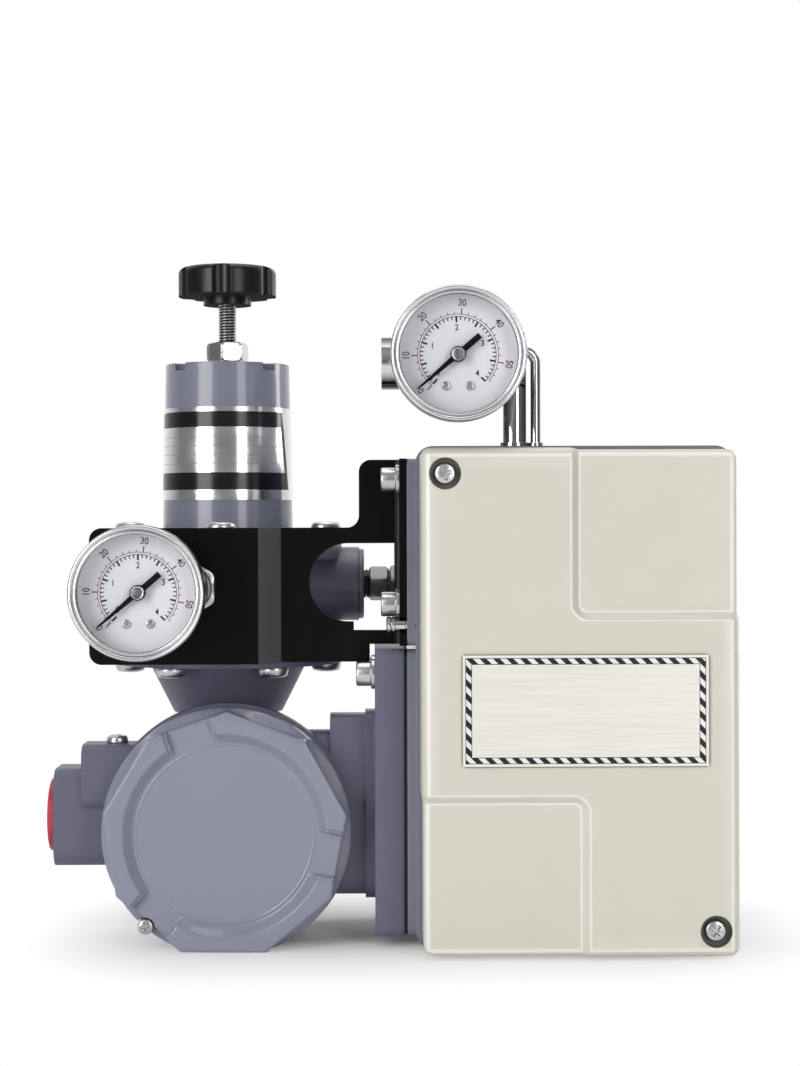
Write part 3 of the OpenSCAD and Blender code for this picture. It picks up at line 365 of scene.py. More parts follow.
@dataclass(frozen=True)
class Glass:
    """Clear gauge glass with faint smears."""

    name: str = "gauge_glass"
    tint: Colour = (0.02, 0.02, 0.025, 1.0)
    smear_scale: float = 120.0
    rough: Pair = (0.02, 0.07)
    alpha: float = 0.05
    ior: float = 1.5

    def material(self) -> Material:
        """Build the node material.

        Returns:
            The material.
        """
        graph = Graph(self.name)
        smear = graph.noise(self.smear_scale, 3.0)
        shader = graph.node("BsdfPrincipled", {
            "Base Color": self.tint,
            "Roughness": graph.spread(smear, *self.rough),
            "Alpha": self.alpha,
            "IOR": self.ior,
        })
        return graph.finish(shader)


@dataclass(frozen=True)
class HatchedPlate:
    """Brushed nameplate, bare inside a black and white hatched border, with a painted shadow line
    round its edge.
    """

    name: str = "nameplate_metal"
    centre: Pair = (1.8, 99.2)
    half: Pair = (48.8, 22.25)
    inset: float = 1.5
    band: float = 2.4
    period: float = 3.75
    black_share: float = 0.52
    line_out: float = 0.12
    line_in: float = 0.14
    margin: float = 0.6
    painted_shadow_edge: float = 0.35
    dark_metal: Point = (232, 229, 219)
    pale_metal: Point = (243, 240, 231)
    border_white: Point = (240, 239, 234)
    painted_shadow_tone: Point = (128, 125, 116)
    ink_tone: Point = (28, 28, 32)
    brush_scale: float = 40.0
    brush_stretch: Point = (1.0, 1.0, 60.0)
    rough: Pair = (0.34, 0.5)
    metal: float = 0.25

    def material(self) -> Material:
        """Build the node material.

        Returns:
            The material.
        """
        graph = Graph(self.name)
        x, _, z = graph.axes()
        across = graph.math("SUBTRACT", graph.math("DIVIDE", x, MM), self.centre[0])
        up = graph.math("SUBTRACT", graph.math("DIVIDE", z, MM), self.centre[1])
        side = graph.math("SUBTRACT", self.half[0], graph.math("ABSOLUTE", across))
        end = graph.math("SUBTRACT", self.half[1], graph.math("ABSOLUTE", up))
        depth = graph.math("MINIMUM", side, end)
        hatch_end = self.inset + self.band
        border = graph.band(depth, self.inset, hatch_end)
        diagonal = graph.math("DIVIDE", graph.math("ADD", across, up), self.period * math.sqrt(2))
        wave = graph.math("FRACT", graph.math("ADD", diagonal, 100.0))
        stripe = graph.math("LESS_THAN", wave, self.black_share)
        brush = graph.noise(self.brush_scale, 4.0, self.brush_stretch)
        metal = graph.mix(graph.spread(brush, 0.0, 1.0), srgb(*self.dark_metal),
                          srgb(*self.pale_metal))
        outer = graph.band(depth, self.inset - self.line_out, self.inset + self.line_in)
        inner = graph.band(depth, hatch_end - self.line_in, hatch_end + self.line_out)
        lines = graph.math("ADD", outer, inner)
        ink = graph.math("MAXIMUM", graph.math("MULTIPLY", border, stripe), lines)
        rim = graph.math("LESS_THAN", depth, hatch_end + self.margin)
        ground = graph.mix(rim, metal, srgb(*self.border_white))
        # A thin dark line round the plate's edge: painted shadow.
        cut = graph.math("LESS_THAN", depth, self.painted_shadow_edge)
        ground = graph.mix(cut, ground, srgb(*self.painted_shadow_tone))
        tone = graph.mix(ink, ground, srgb(*self.ink_tone))
        shader = graph.node("BsdfPrincipled", {
            "Base Color": tone,
            "Metallic": self.metal,
            "Roughness": graph.spread(brush, *self.rough),
        })
        return graph.finish(shader)


@dataclass(frozen=True)
class Foil:
    """Bright foil wrapped round the bonnet, with black bands and ruled lines."""

    name: str = "bonnet_foil"
    bands: Pairs = ((214.3, 220.9), (187.7, 195.0))
    rules: tuple[float, ...] = (198.8, 202.6, 206.4, 210.2)
    rule_half: float = 0.12
    rule_ink: float = 0.6
    axis: Pair = REGULATOR_AXIS
    end: Pair = (62.0, 66.5)
    lean: float = 0.3
    lean_z: float = 204.0
    dark_foil: Point = (222, 222, 226)
    pale_foil: Point = (246, 246, 249)
    ink_tone: Point = (20, 20, 24)
    crinkle_scale: float = 90.0
    crinkle: float = 0.08
    crinkle_depth: float = 0.1
    rough: Pair = (0.13, 0.22)
    metal: float = 0.95

    def material(self) -> Material:
        """Build the node material.

        Returns:
            The material.
        """
        graph = Graph(self.name)
        x, y, z = graph.axes()
        z = graph.math("DIVIDE", z, MM)
        black = graph.band(z, *self.bands[0])
        for low, high in self.bands[1:]:
            black = graph.math("ADD", black, graph.band(z, low, high))
        lines: object = 0.0
        for rule in self.rules:
            ruled = graph.band(z, rule - self.rule_half, rule + self.rule_half)
            lines = graph.math("ADD", lines, ruled)
        turn = graph.math("ARCTAN2", graph.math("SUBTRACT", x, self.axis[0] * MM),
                          graph.math("SUBTRACT", self.axis[1] * MM, y))
        fall = graph.math("MULTIPLY", graph.math("SUBTRACT", self.lean_z, z), self.lean)
        lean = graph.math("SUBTRACT", graph.math("MULTIPLY", turn, 180 / math.pi), fall)
        tall = graph.band(z, self.bands[1][0], self.bands[0][1])
        inside = graph.math("SUBTRACT", 1.0, graph.math("GREATER_THAN", lean, self.end[1]))
        post = graph.math("MULTIPLY", tall, graph.band(lean, *self.end))
        black = graph.math("MULTIPLY", graph.math("MAXIMUM", black, post), inside)
        lines = graph.math("MULTIPLY", graph.math("MULTIPLY", lines, inside), self.rule_ink)
        ink = graph.math("MINIMUM", graph.math("ADD", black, lines), 1.0)
        crinkle = graph.noise(self.crinkle_scale, 3.0)
        bright = graph.mix(crinkle, srgb(*self.dark_foil), srgb(*self.pale_foil))
        tone = graph.mix(ink, bright, srgb(*self.ink_tone))
        bump = graph.node("Bump", {"Strength": self.crinkle, "Distance": self.crinkle_depth * MM,
                                   "Height": crinkle})
        inked = graph.math("MULTIPLY", ink, self.metal)
        shader = graph.node("BsdfPrincipled", {
            "Base Color": tone,
            "Metallic": graph.math("SUBTRACT", self.metal, inked),
            "Roughness": graph.spread(crinkle, *self.rough),
            "Normal": bump.outputs[0],
        })
        return graph.finish(shader)


class Finish(Enum):
    """Every finish on the positioner."""

    GREY = Paint("grey_enamel", (121, 123, 140), 0.3,
                 mottle=0.02, mottle_scale=30, grain=0.1, edge=1.2, coat=0.7)
    # A lighter copy of the grey enamel: painted light on the junction box cover, which faces the
    # lamps.
    GREY_PAINTED_LIT = Paint("grey_enamel_painted_lit", (140, 142, 160), 0.3,
                      mottle=0.015, mottle_scale=30, grain=0.1, edge_tone=1.35, coat=0.6)
    # A darker copy of the grey enamel: painted shade on the junction box body and the filter bowl.
    GREY_PAINTED_SHADE = Paint("grey_enamel_painted_shade", (104, 105, 124), 0.42,
                      mottle=0.02, mottle_scale=30, grain=0.1, edge=2.4, coat=0.1, shine=0.25)
    # A slightly darker, less glossy copy of the grey enamel: painted shade on the regulator body
    # behind the bracket.
    GREY_SLIGHT_PAINTED_SHADE = Paint("grey_enamel_slight_painted_shade", (118, 119, 137),
                       mottle=0.02, mottle_scale=30, grain=0.1, edge=1.2, coat=0.2)
    DARK_STEEL = Paint("dark_steel", (112, 112, 115), 0.3, 0.95, mottle=0.1, grain=0.1, edge=0.3)
    # The beige cover's step walls and rounded edges take a lighter side colour: a painted
    # highlight.
    BEIGE = Paint("beige_enamel", (217, 214, 201), 0.34,
                  mottle=0.012, grain=0.08, edge=1.0, edge_tone=1.17, coat=0.3,
                  painted_side_light=(241, 239, 230), painted_side_light_from=0.03, painted_side_light_to=0.16, painted_side_light_end=0.4)
    # Darker finish for the cover's counterbore walls: painted shade in the deep counterbores.
    COUNTERBORE_PAINTED_SHADE = Paint("counterbore_painted_shade", (116, 114, 107), 0.5, 0.3, mottle=0.1, grain=0.2, edge=0.2)
    # The bracket's bent faces take a grey side colour: a painted highlight on the black sheet.
    BLACK_SHEET = Paint("black_satin_sheet", (8, 8, 10), 0.36,
                        mottle=0.15, grain=0.08, edge=0.5, edge_tone=2.5, shine=0.12,
                        painted_side_light=(94, 94, 99))
    RUBBER = Paint("black_rubber", (30, 30, 31), 0.8, grain=0.3, edge=0.3)
    ZINC = Paint("bright_zinc", (205, 205, 208), 0.28, 1.0, mottle=0.1, grain=0.08, edge=0.3)
    BRIGHT_STEEL = Paint("bright_steel", (218, 218, 221), 0.15, 1.0, grain=0.05, edge=0.4)
    STEEL = Paint("turned_steel", (186, 187, 190), 0.3, 1.0, mottle=0.08, edge=0.3)
    # Darker finish for thread roots: painted shade in the roots.
    ROOT = Paint("thread_root_painted_shade", (58, 58, 61), 0.45, 0.8, mottle=0.1, edge=0.05)
    SPRING = Paint("spring_wire", (140, 141, 145), 0.35, 1.0, edge=0.1)
    # Polished chrome whose faces turned sideways, up or down take a dark side colour: a painted
    # reflection of dark surroundings.
    CHROME = Paint("polished_chrome", (222, 223, 226), 0.07, 1.0,
                   mottle=0.03, grain=0.02, edge=0.3,
                   painted_side_light=(84, 84, 89), painted_side_light_from=0.35, painted_side_light_to=0.8)
    # Polished stainless whose faces turned sideways, up or down take a darker side colour: painted
    # shade on the bezel's outer sides.
    STAINLESS = Paint("polished_stainless", (228, 228, 230), 0.24, 0.95,
                      mottle=0.04, grain=0.05, edge=0.2,
                      painted_side_light=(128, 128, 132), painted_side_light_from=0.55, painted_side_light_to=0.97, painted_side_light_end=1.01)
    CUP = Paint("gauge_back", (150, 151, 155), 0.3, 1.0, edge=0.4)
    DIAL = Paint("dial_white", (247, 248, 255), 0.5, mottle=0.01, grain=0.03, edge=0.1)
    DIAL_INK = Paint("dial_ink", (26, 26, 32), 0.6, mottle=0.1, edge=0.02)
    DIAL_RED = Paint("dial_red", (170, 84, 112), 0.6, mottle=0.1, edge=0.02)
    DIAL_MAROON = Paint("dial_maroon", (116, 48, 74), 0.6, mottle=0.1, edge=0.02)
    POINTER = Paint("pointer_black", (9, 9, 12), 0.45, mottle=0.1, edge=0.1, shine=0.15)
    HUB = Paint("pointer_hub", (128, 127, 129), 0.35, 0.6, edge=0.1)
    BRASS = Paint("turned_brass", (196, 166, 96), 0.3, 1.0, mottle=0.08, edge=0.3)
    COPPER = Paint("copper_winding", (168, 96, 52), 0.35, 0.8, grain=0.5, grain_scale=400, edge=0.2)
    IRON = Paint("ground_iron", (92, 93, 97), 0.45, 0.7, mottle=0.1, edge=0.4)
    ALUMINIUM = Paint("satin_aluminium", (186, 188, 191), 0.38, 0.9, edge=0.4)
    GLOSS_BLACK = Paint("gloss_black_plastic", (9, 9, 14), 0.28,
                        mottle=0.2, grain=0.04, edge=0.8, shine=0.4, matte_under=True)
    RED = Paint("red_plastic", (186, 58, 78), 0.38, mottle=0.05, grain=0.08, edge=0.5)
    FELT = Paint("filter_felt", (214, 208, 188), 0.9, grain=0.6, edge=0.3)
    GLASS = Glass()
    PLATE = HatchedPlate()
    FOIL = Foil()


class Wardrobe:
    """Makes each finish's material once."""

    def __init__(self) -> None:
        """Start with no materials made."""
        self.made: dict[Finish, Material] = {}

    def get(self, finish: Finish) -> Material:
        """Find a finish's material, and make it on first use.

        Args:
            finish: the finish.
        Returns:
            Its material.
        """
        if finish not in self.made:
            self.made[finish] = finish.value.material()
        return self.made[finish]

    def dress(self, piece: Piece, finish: Finish, second: Finish | None = None) -> None:
        """Give a piece its finish.

        Args:
            piece: the piece.
            finish: its finish.
            second: the finish of the faces set apart, if any.
        """
        marks = [face.material_index for face in piece.data.polygons]
        piece.data.materials.clear()
        piece.data.materials.append(self.get(finish))
        if second is not None:
            piece.data.materials.append(self.get(second))
            piece.data.polygons.foreach_set("material_index", marks)


NODE_FINISH: dict[Finish, tuple[str, ...]] = {
    # The junction box cover, its body, the filter bowl and the regulator body wear lit and shaded
    # copies of the case's grey enamel: painted light and shade.
    Finish.GREY: ("case_base", "regulator_bonnet"),
    Finish.GREY_PAINTED_LIT: ("junction_box_cover",),
    Finish.GREY_SLIGHT_PAINTED_SHADE: ("regulator_body",),
    Finish.GREY_PAINTED_SHADE: ("junction_box_body", "filter_bowl"),
    Finish.BEIGE: ("front_cover",),
    Finish.BLACK_SHEET: ("bracket",),
    Finish.PLATE: ("nameplate",),
    Finish.FOIL: ("bonnet_label",),
    Finish.RUBBER: ("cover_gasket", "junction_box_seal", "flange_gasket", "bowl_gasket",
                    "diaphragm"),
    Finish.ZINC: ("cover_screws", "cover_lock_screw", "earth_screw", "flange_screws",
                  "bonnet_screws", "bowl_screws", "bracket_screws", "lever_clamp_screw"),
    Finish.STEEL: ("adjusting_stud", "lock_nut", "lower_spring_seat", "upper_spring_seat",
                   "outlet_nipple", "port_plug", "feedback_shaft", "feedback_lever",
                   "feedback_arm", "feedback_cam", "armature_pivot", "armature_beam"),
    Finish.SPRING: ("range_spring", "feedback_spring"),
    Finish.CHROME: ("gauge_manifold", "vent_plug"),
    Finish.CUP: ("gauge_cases",),
    Finish.STAINLESS: ("gauge_bezels",),
    Finish.GLASS: ("gauge_lenses",),
    Finish.POINTER: ("left_pointer", "top_pointer"),
    Finish.BRASS: ("nozzle_block", "supply_valve", "valve_guide", "drain_cock", "shaft_bush",
                   "terminal_screws"),
    Finish.COPPER: ("torque_motor_coil",),
    Finish.IRON: ("torque_motor_magnet", "torque_motor_yoke"),
    Finish.ALUMINIUM: ("mechanism_plate", "pilot_relay"),
    Finish.GLOSS_BLACK: ("knob", "zero_adjuster", "terminal_block"),
    Finish.RED: ("conduit_plug",),
    Finish.FELT: ("filter_element",),
}


class Way(Enum):
    """The direction that a turned piece looks in."""

    LEFT = (-1, 0, 0)
    RIGHT = (1, 0, 0)
    FRONT = (0, -1, 0)
    BACK = (0, 1, 0)
    UP = (0, 0, 1)
    DOWN = (0, 0, -1)


def facing(at: Point, way: Way, spin: float = 0.0) -> Matrix:
    """A placing whose local +Z looks along way.

    Args:
        at: the place in millimetres.
        way: the direction of local +Z.
        spin: a turn about that direction in degrees.
    Returns:
        The matrix, with its place in metres.
    """
    turn = Vector((0, 0, 1)).rotation_difference(Vector(way.value)).to_matrix().to_4x4()
    return Matrix.Translation(Vector(at) * MM) @ turn @ Matrix.Rotation(math.radians(spin), 4, "Z")


class Cut(Enum):
    """What a carving tool does to a piece."""

    AWAY = "DIFFERENCE"
    ADD = "UNION"


class Shapes:
    """Mesh makers. Sizes are in millimetres and the placing is a matrix in metres."""

    @staticmethod
    def smooth(data: bpy.types.Mesh, sharp: float) -> None:
        """Shade a mesh smooth, apart from edges bent by more than sharp degrees."""
        data.shade_smooth()
        data.set_sharp_from_angle(angle=math.radians(sharp))

    @staticmethod
    def mesh(name: str, points: list[Point], faces: list[Face], place: Matrix,
             sharp: float = SHARP) -> Piece:
        """Make an object from points and faces.

        Args:
            name: the piece's name.
            points: the places in millimetres.
            faces: the corners of each face.
            place: where the piece's own frame is.
            sharp: edges bent by more than this many degrees stay sharp.
        Returns:
            The object, linked to the scene.
        """
        data = bpy.data.meshes.new(name)
        data.from_pydata([tuple(place @ (Vector(p) * MM)) for p in points], [], faces)
        data.validate()
        data.update()
        Shapes.smooth(data, sharp)
        return put(name, data)

    @staticmethod
    def walls(rows: int, count: int, closed: bool) -> list[Face]:
        """Faces between each ring of a row and the next.

        Args:
            rows: how many rings there are.
            count: how many points each has.
            closed: whether the last ring meets the first.
        Returns:
            The faces.
        """
        faces: list[Face] = []
        for i in range(rows if closed else rows - 1):
            n = (i + 1) % rows
            for j in range(count):
                k = (j + 1) % count
                faces.append((i * count + j, i * count + k, n * count + k, n * count + j))
        return faces

    @staticmethod
    def loft(name: str, rings: list[Ring], place: Matrix, sharp: float = SHARP) -> Piece:
        """Skin a row of rings of equal count, with a face over each end ring.

        Args:
            name: the piece's name.
            rings: the rings, in order.
            place: where the piece's own frame is.
            sharp: edges bent by more than this many degrees stay sharp.
        Returns:
            The piece.
        """
        count = len(rings[0])
        faces = Shapes.walls(len(rings), count, False)
        faces.append(tuple(reversed(range(count))))
        faces.append(tuple(range((len(rings) - 1) * count, len(rings) * count)))
        return Shapes.mesh(name, [p for ring in rings for p in ring], faces, place, sharp)

    @staticmethod
    def hoop(name: str, rings: list[Ring], place: Matrix, sharp: float) -> Piece:
        """Skin a row of rings of equal count whose last one meets the first."""
        faces = Shapes.walls(len(rings), len(rings[0]), True)
        return Shapes.mesh(name, [p for ring in rings for p in ring], faces, place, sharp)

    @staticmethod
    def circle(radius: float, height: float, count: int) -> Ring:
        """One round ring."""
        return [polar(radius, FULL_TURN * j / count, height) for j in range(count)]

    @staticmethod
    def lathe(name: str, profile: Outline, place: Matrix, count: int = 96,
              sharp: float = SHARP) -> Piece:
        """Turn an outline of radius and height whose two ends are closed by flat faces."""
        rings = [Shapes.circle(radius, height, count) for radius, height in profile]
        return Shapes.loft(name, rings, place, sharp)

    @staticmethod
    def ring(name: str, profile: Outline, place: Matrix, count: int,
             sharp: float = SHARP) -> Piece:
        """Turn a closed outline of radius and height into a ring."""
        rings = [Shapes.circle(radius, height, count) for radius, height in profile]
        return Shapes.hoop(name, rings, place, sharp)

    @staticmethod
    def hexagon_radius(across: float, angle: float) -> float:
        """Distance from a hexagon's middle to its side at an angle in radians, a corner at 0."""
        return across / 2 / math.cos((angle % (math.pi / 3)) - math.pi / 6)

    @staticmethod
    def hexagon(across: float, height: float, limit: float = math.inf, count: int = 72) -> Ring:
        """A hexagonal ring with its corners cut round.

        Args:
            across: the distance across its flats.
            height: the ring's height.
            limit: the radius that no point of it passes.
            count: how many points it has.
        Returns:
            The ring.
        """
        ring = []
        for j in range(count):
            angle = FULL_TURN * j / count
            ring.append(polar(min(Shapes.hexagon_radius(across, angle), limit), angle, height))
        return ring

    @staticmethod
    def weld(data: bpy.types.Mesh, near: float = 1e-6) -> None:
        """Join corners that coincide and drop faces without area.

        Args:
            data: the mesh.
            near: how close corners join, in metres.
        """
        loose = bmesh.new()
        loose.from_mesh(data)
        bmesh.ops.remove_doubles(loose, verts=loose.verts, dist=near)
        bmesh.ops.dissolve_degenerate(loose, edges=loose.edges, dist=near)
        loose.to_mesh(data)
        loose.free()

    @staticmethod
    def worked_out(piece: Piece) -> bpy.types.Mesh:
        """A welded mesh of a piece as its modifiers or its digits make it.

        Args:
            piece: the piece.
        Returns:
            The mesh.
        """
        bpy.context.view_layer.update()
        shown = piece.evaluated_get(bpy.context.evaluated_depsgraph_get())
        data = bpy.data.meshes.new_from_object(shown)
        Shapes.weld(data)
        return data

    @staticmethod
    def carve(piece: Piece, tool: Piece, cut: Cut = Cut.AWAY) -> None:
        """Cut a tool from a piece, or add it, and remove the tool.

        Args:
            piece: the piece.
            tool: the tool.
            cut: what the tool does.
        """
        step = piece.modifiers.new("carve", "BOOLEAN")
        step.operation = cut.value
        step.solver = "EXACT"
        step.object = tool
        data = Shapes.worked_out(piece)
        piece.modifiers.clear()
        piece.data = data
        bpy.data.objects.remove(tool)

    @staticmethod
    def join(name: str, pieces: list[Piece]) -> Piece:
        """Make one object of several.

        Args:
            name: the new piece's name.
            pieces: the pieces, of which the first one takes in the others.
        Returns:
            The new piece.
        """
        with bpy.context.temp_override(active_object=pieces[0], selected_editable_objects=pieces):
            bpy.ops.object.join()
        pieces[0].name = name
        return pieces[0]


@dataclass(frozen=True)
class Thread:
    """A rod with a helical thread, its root faces set apart for a darker finish: painted shade in
    the roots.
    """

    radius: float
    pitch: float
    length: float
    count: int = 40
    rows_per_pitch: int = 6
    depth_share: float = 0.55
    flank: float = 2.6
    root_flat: float = 0.15
    run_out: float = 1.0
    run_out_share: float = 0.8
    root_shade_half: float = 0.24
    sharp: float = 50.0

    def reach(self, angle: float, height: float) -> float:
        """The rod's radius at a place.

        Args:
            angle: the angle in radians.
            height: the height above the rod's lower end.
        Returns:
            The radius.
        """
        depth = self.depth_share * self.pitch
        phase = (height / self.pitch - angle / FULL_TURN) % 1.0
        cut = depth * (1 - clamp(abs(phase - 0.5) * self.flank - self.root_flat))
        ease = clamp(min(height, self.length - height) / self.run_out)
        return self.radius - cut * ease - depth * (1 - ease) * self.run_out_share

    def build(self, name: str, place: Matrix) -> Piece:
        """Make the rod from height 0 to its length.

        Args:
            name: the piece's name.
            place: where the rod's own frame is.
        Returns:
            The rod.
        """
        rows = int(self.length / self.pitch * self.rows_per_pitch)
        angles = [FULL_TURN * j / self.count for j in range(self.count)]
        rings = [Shapes.circle(self.radius - self.depth_share * self.pitch, 0.0, self.count)]
        for i in range(rows + 1):
            height = self.length * i / rows
            rings.append([polar(self.reach(angle, height), angle, height) for angle in angles])
        rod = Shapes.loft(name, rings, place, self.sharp)
        # Faces in the thread's roots are marked for the darker second finish: painted shade.
        for face in rod.data.polygons[self.count:-2]:
            row, column = divmod(face.index - self.count, self.count)
            phase = ((row + 0.5) / self.rows_per_pitch - (column + 0.5) / self.count) % 1.0
            face.material_index = 1 if abs(phase - 0.5) < self.root_shade_half else 0
        return rod


@dataclass
class Fastener:
    """A screw with a detailed head.

    Radii and the crown, cross and socket floor are shares of the head's size. The heights of
    CAP_FOOT and CAP_TOP, SOCKET_MOUTH and the washer's play and edge are in millimetres.
    """

    PAN_RINGS: ClassVar[tuple[float, ...]] = (
        0.03, 0.08, 0.13, 0.18, 0.24, 0.3, 0.37, 0.44, 0.5, 0.55, 0.6, 0.68, 0.78, 0.87, 0.94,
        0.985, 1.0)
    PAN_POINTS: ClassVar[int] = 96
    PAN_SHARP: ClassVar[float] = 40.0
    CROWN: ClassVar[float] = 0.22
    CROWN_EDGE: ClassVar[Point] = (0.8, 0.2, 0.5)
    CROSS: ClassVar[Pair] = (0.56, 0.135)
    CROSS_SOFT: ClassVar[Pair] = (0.2, 0.35)
    CROSS_DEPTH: ClassVar[float] = 0.5
    PAN_FOOT: ClassVar[Pair] = (0.97, 0.12)
    CAP_POINTS: ClassVar[int] = 72
    CAP_FOOT: ClassVar[Outline] = ((0.96, 0.0), (1.0, 0.25))
    CAP_TOP: ClassVar[Outline] = ((1.0, 0.7), (0.97, 0.3), (0.9, 0.0))
    SOCKET_MOUTH: ClassVar[Pair] = (0.35, 0.25)
    SOCKET_FLOOR: ClassVar[Point] = (0.45, 0.3, 0.1)
    WASHER_PLAY: ClassVar[float] = 0.1
    WASHER_EDGE: ClassVar[float] = 0.3
    WASHER_EDGE_SHARE: ClassVar[float] = 0.8

    at: Point
    way: Way
    head_r: float
    head_h: float
    shank_r: float
    length: float
    spin: float

    def place(self) -> Matrix:
        """The placing of the seat under the head."""
        return facing(self.at, self.way, self.spin)

    def cross(self, x: float, y: float) -> float:
        """How much of the cross recess's depth a place has.

        Args:
            x, y: the place on the head.
        Returns:
            A share from 0 to 1.
        """
        arm, wide = (self.head_r * share for share in self.CROSS)
        end_soft, side_soft = self.CROSS_SOFT
        long, short = max(abs(x), abs(y)), min(abs(x), abs(y))
        return (clamp((wide - short) / (side_soft * wide) + 0.5)
                * clamp((arm - long) / (end_soft * arm)))

    def pan(self, name: str) -> Piece:
        """A pan head with a cross recess, and its shank.

        Args:
            name: the piece's name.
        Returns:
            The screw.
        """
        count = self.PAN_POINTS
        edge_at, edge_wide, edge_fall = self.CROWN_EDGE
        rings = []
        for radius in (self.head_r * ring_share for ring_share in self.PAN_RINGS):
            share = radius / self.head_r
            fall = edge_fall * max(0.0, (share - edge_at) / edge_wide) ** 3
            crown = self.head_h * (1 - self.CROWN * share ** 2 - fall)
            rings.append([(x, y, crown - self.cross(x, y) * self.CROSS_DEPTH * self.head_h)
                          for x, y, _ in Shapes.circle(radius, crown, count)])
        foot_r, foot_h = self.PAN_FOOT
        rings += [Shapes.circle(self.head_r, foot_h * self.head_h, count),
                  Shapes.circle(self.head_r * foot_r, 0.0, count),
                  Shapes.circle(self.shank_r, 0.0, count),
                  Shapes.circle(self.shank_r, -self.length, count)]
        rings.reverse()
        return Shapes.loft(name, rings, self.place(), self.PAN_SHARP)

    def cap(self, name: str, washer_r: float = 0.0, washer_t: float = 0.0) -> Piece:
        """A socket cap screw, with a washer under it where washer_t is given.

        Args:
            name: the piece's name.
            washer_r: the washer's radius.
            washer_t: the washer's thickness.
        Returns:
            The screw.
        """
        count = self.CAP_POINTS
        r, h, base = self.head_r, self.head_h, washer_t
        mouth_out, mouth_in = self.SOCKET_MOUTH
        wall_end, tip_h, tip_r = self.SOCKET_FLOOR
        rings = [
            Shapes.circle(self.shank_r, base - self.length, count),
            Shapes.circle(self.shank_r, base, count),
            *(Shapes.circle(r * share, base + up, count) for share, up in self.CAP_FOOT),
            *(Shapes.circle(r * share, base + h - down, count) for share, down in self.CAP_TOP),
            Shapes.hexagon(r + mouth_out, base + h, count=count),
            Shapes.hexagon(r, base + h - mouth_in, count=count),
            Shapes.hexagon(r, base + h * wall_end, count=count),
            Shapes.circle(r * tip_r, base + h * tip_h, count),
        ]
        screw = Shapes.loft(name, rings, self.place())
        if washer_t <= 0:
            return screw
        hole = self.shank_r + self.WASHER_PLAY
        outline = ((hole, 0), (washer_r, 0), (washer_r, washer_t * self.WASHER_EDGE_SHARE),
                   (washer_r - self.WASHER_EDGE, washer_t), (hole, washer_t))
        washer = Shapes.ring(name + "_washer", outline, self.place(), count)
        return Shapes.join(name, [screw, washer])


class Dresser:
    """Shared work of the sub-assemblies: ride, replace and finish a piece."""

    def __init__(self, wardrobe: Wardrobe) -> None:
        """Keep the wardrobe."""
        self.wardrobe = wardrobe

    def settle(self, piece: Piece, finish: Finish, slot: Slot, body: Body = Body.CASE,
               node: str | None = None, second: Finish | None = None) -> None:
        """Finish a piece, put it on its body and let it stand for a node.

        Args:
            piece: the piece.
            finish: its finish.
            slot: the record's material slot; not used.
            body: the body it rides on.
            node: the CAD node it stands for, if any.
            second: the finish of the faces set apart, if any.
        """
        self.wardrobe.dress(piece, finish, second)
        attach(piece, body.value)
        if node is not None:
            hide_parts(node)
        LOG.info("piece %s rides on %s", piece.name, body.value)


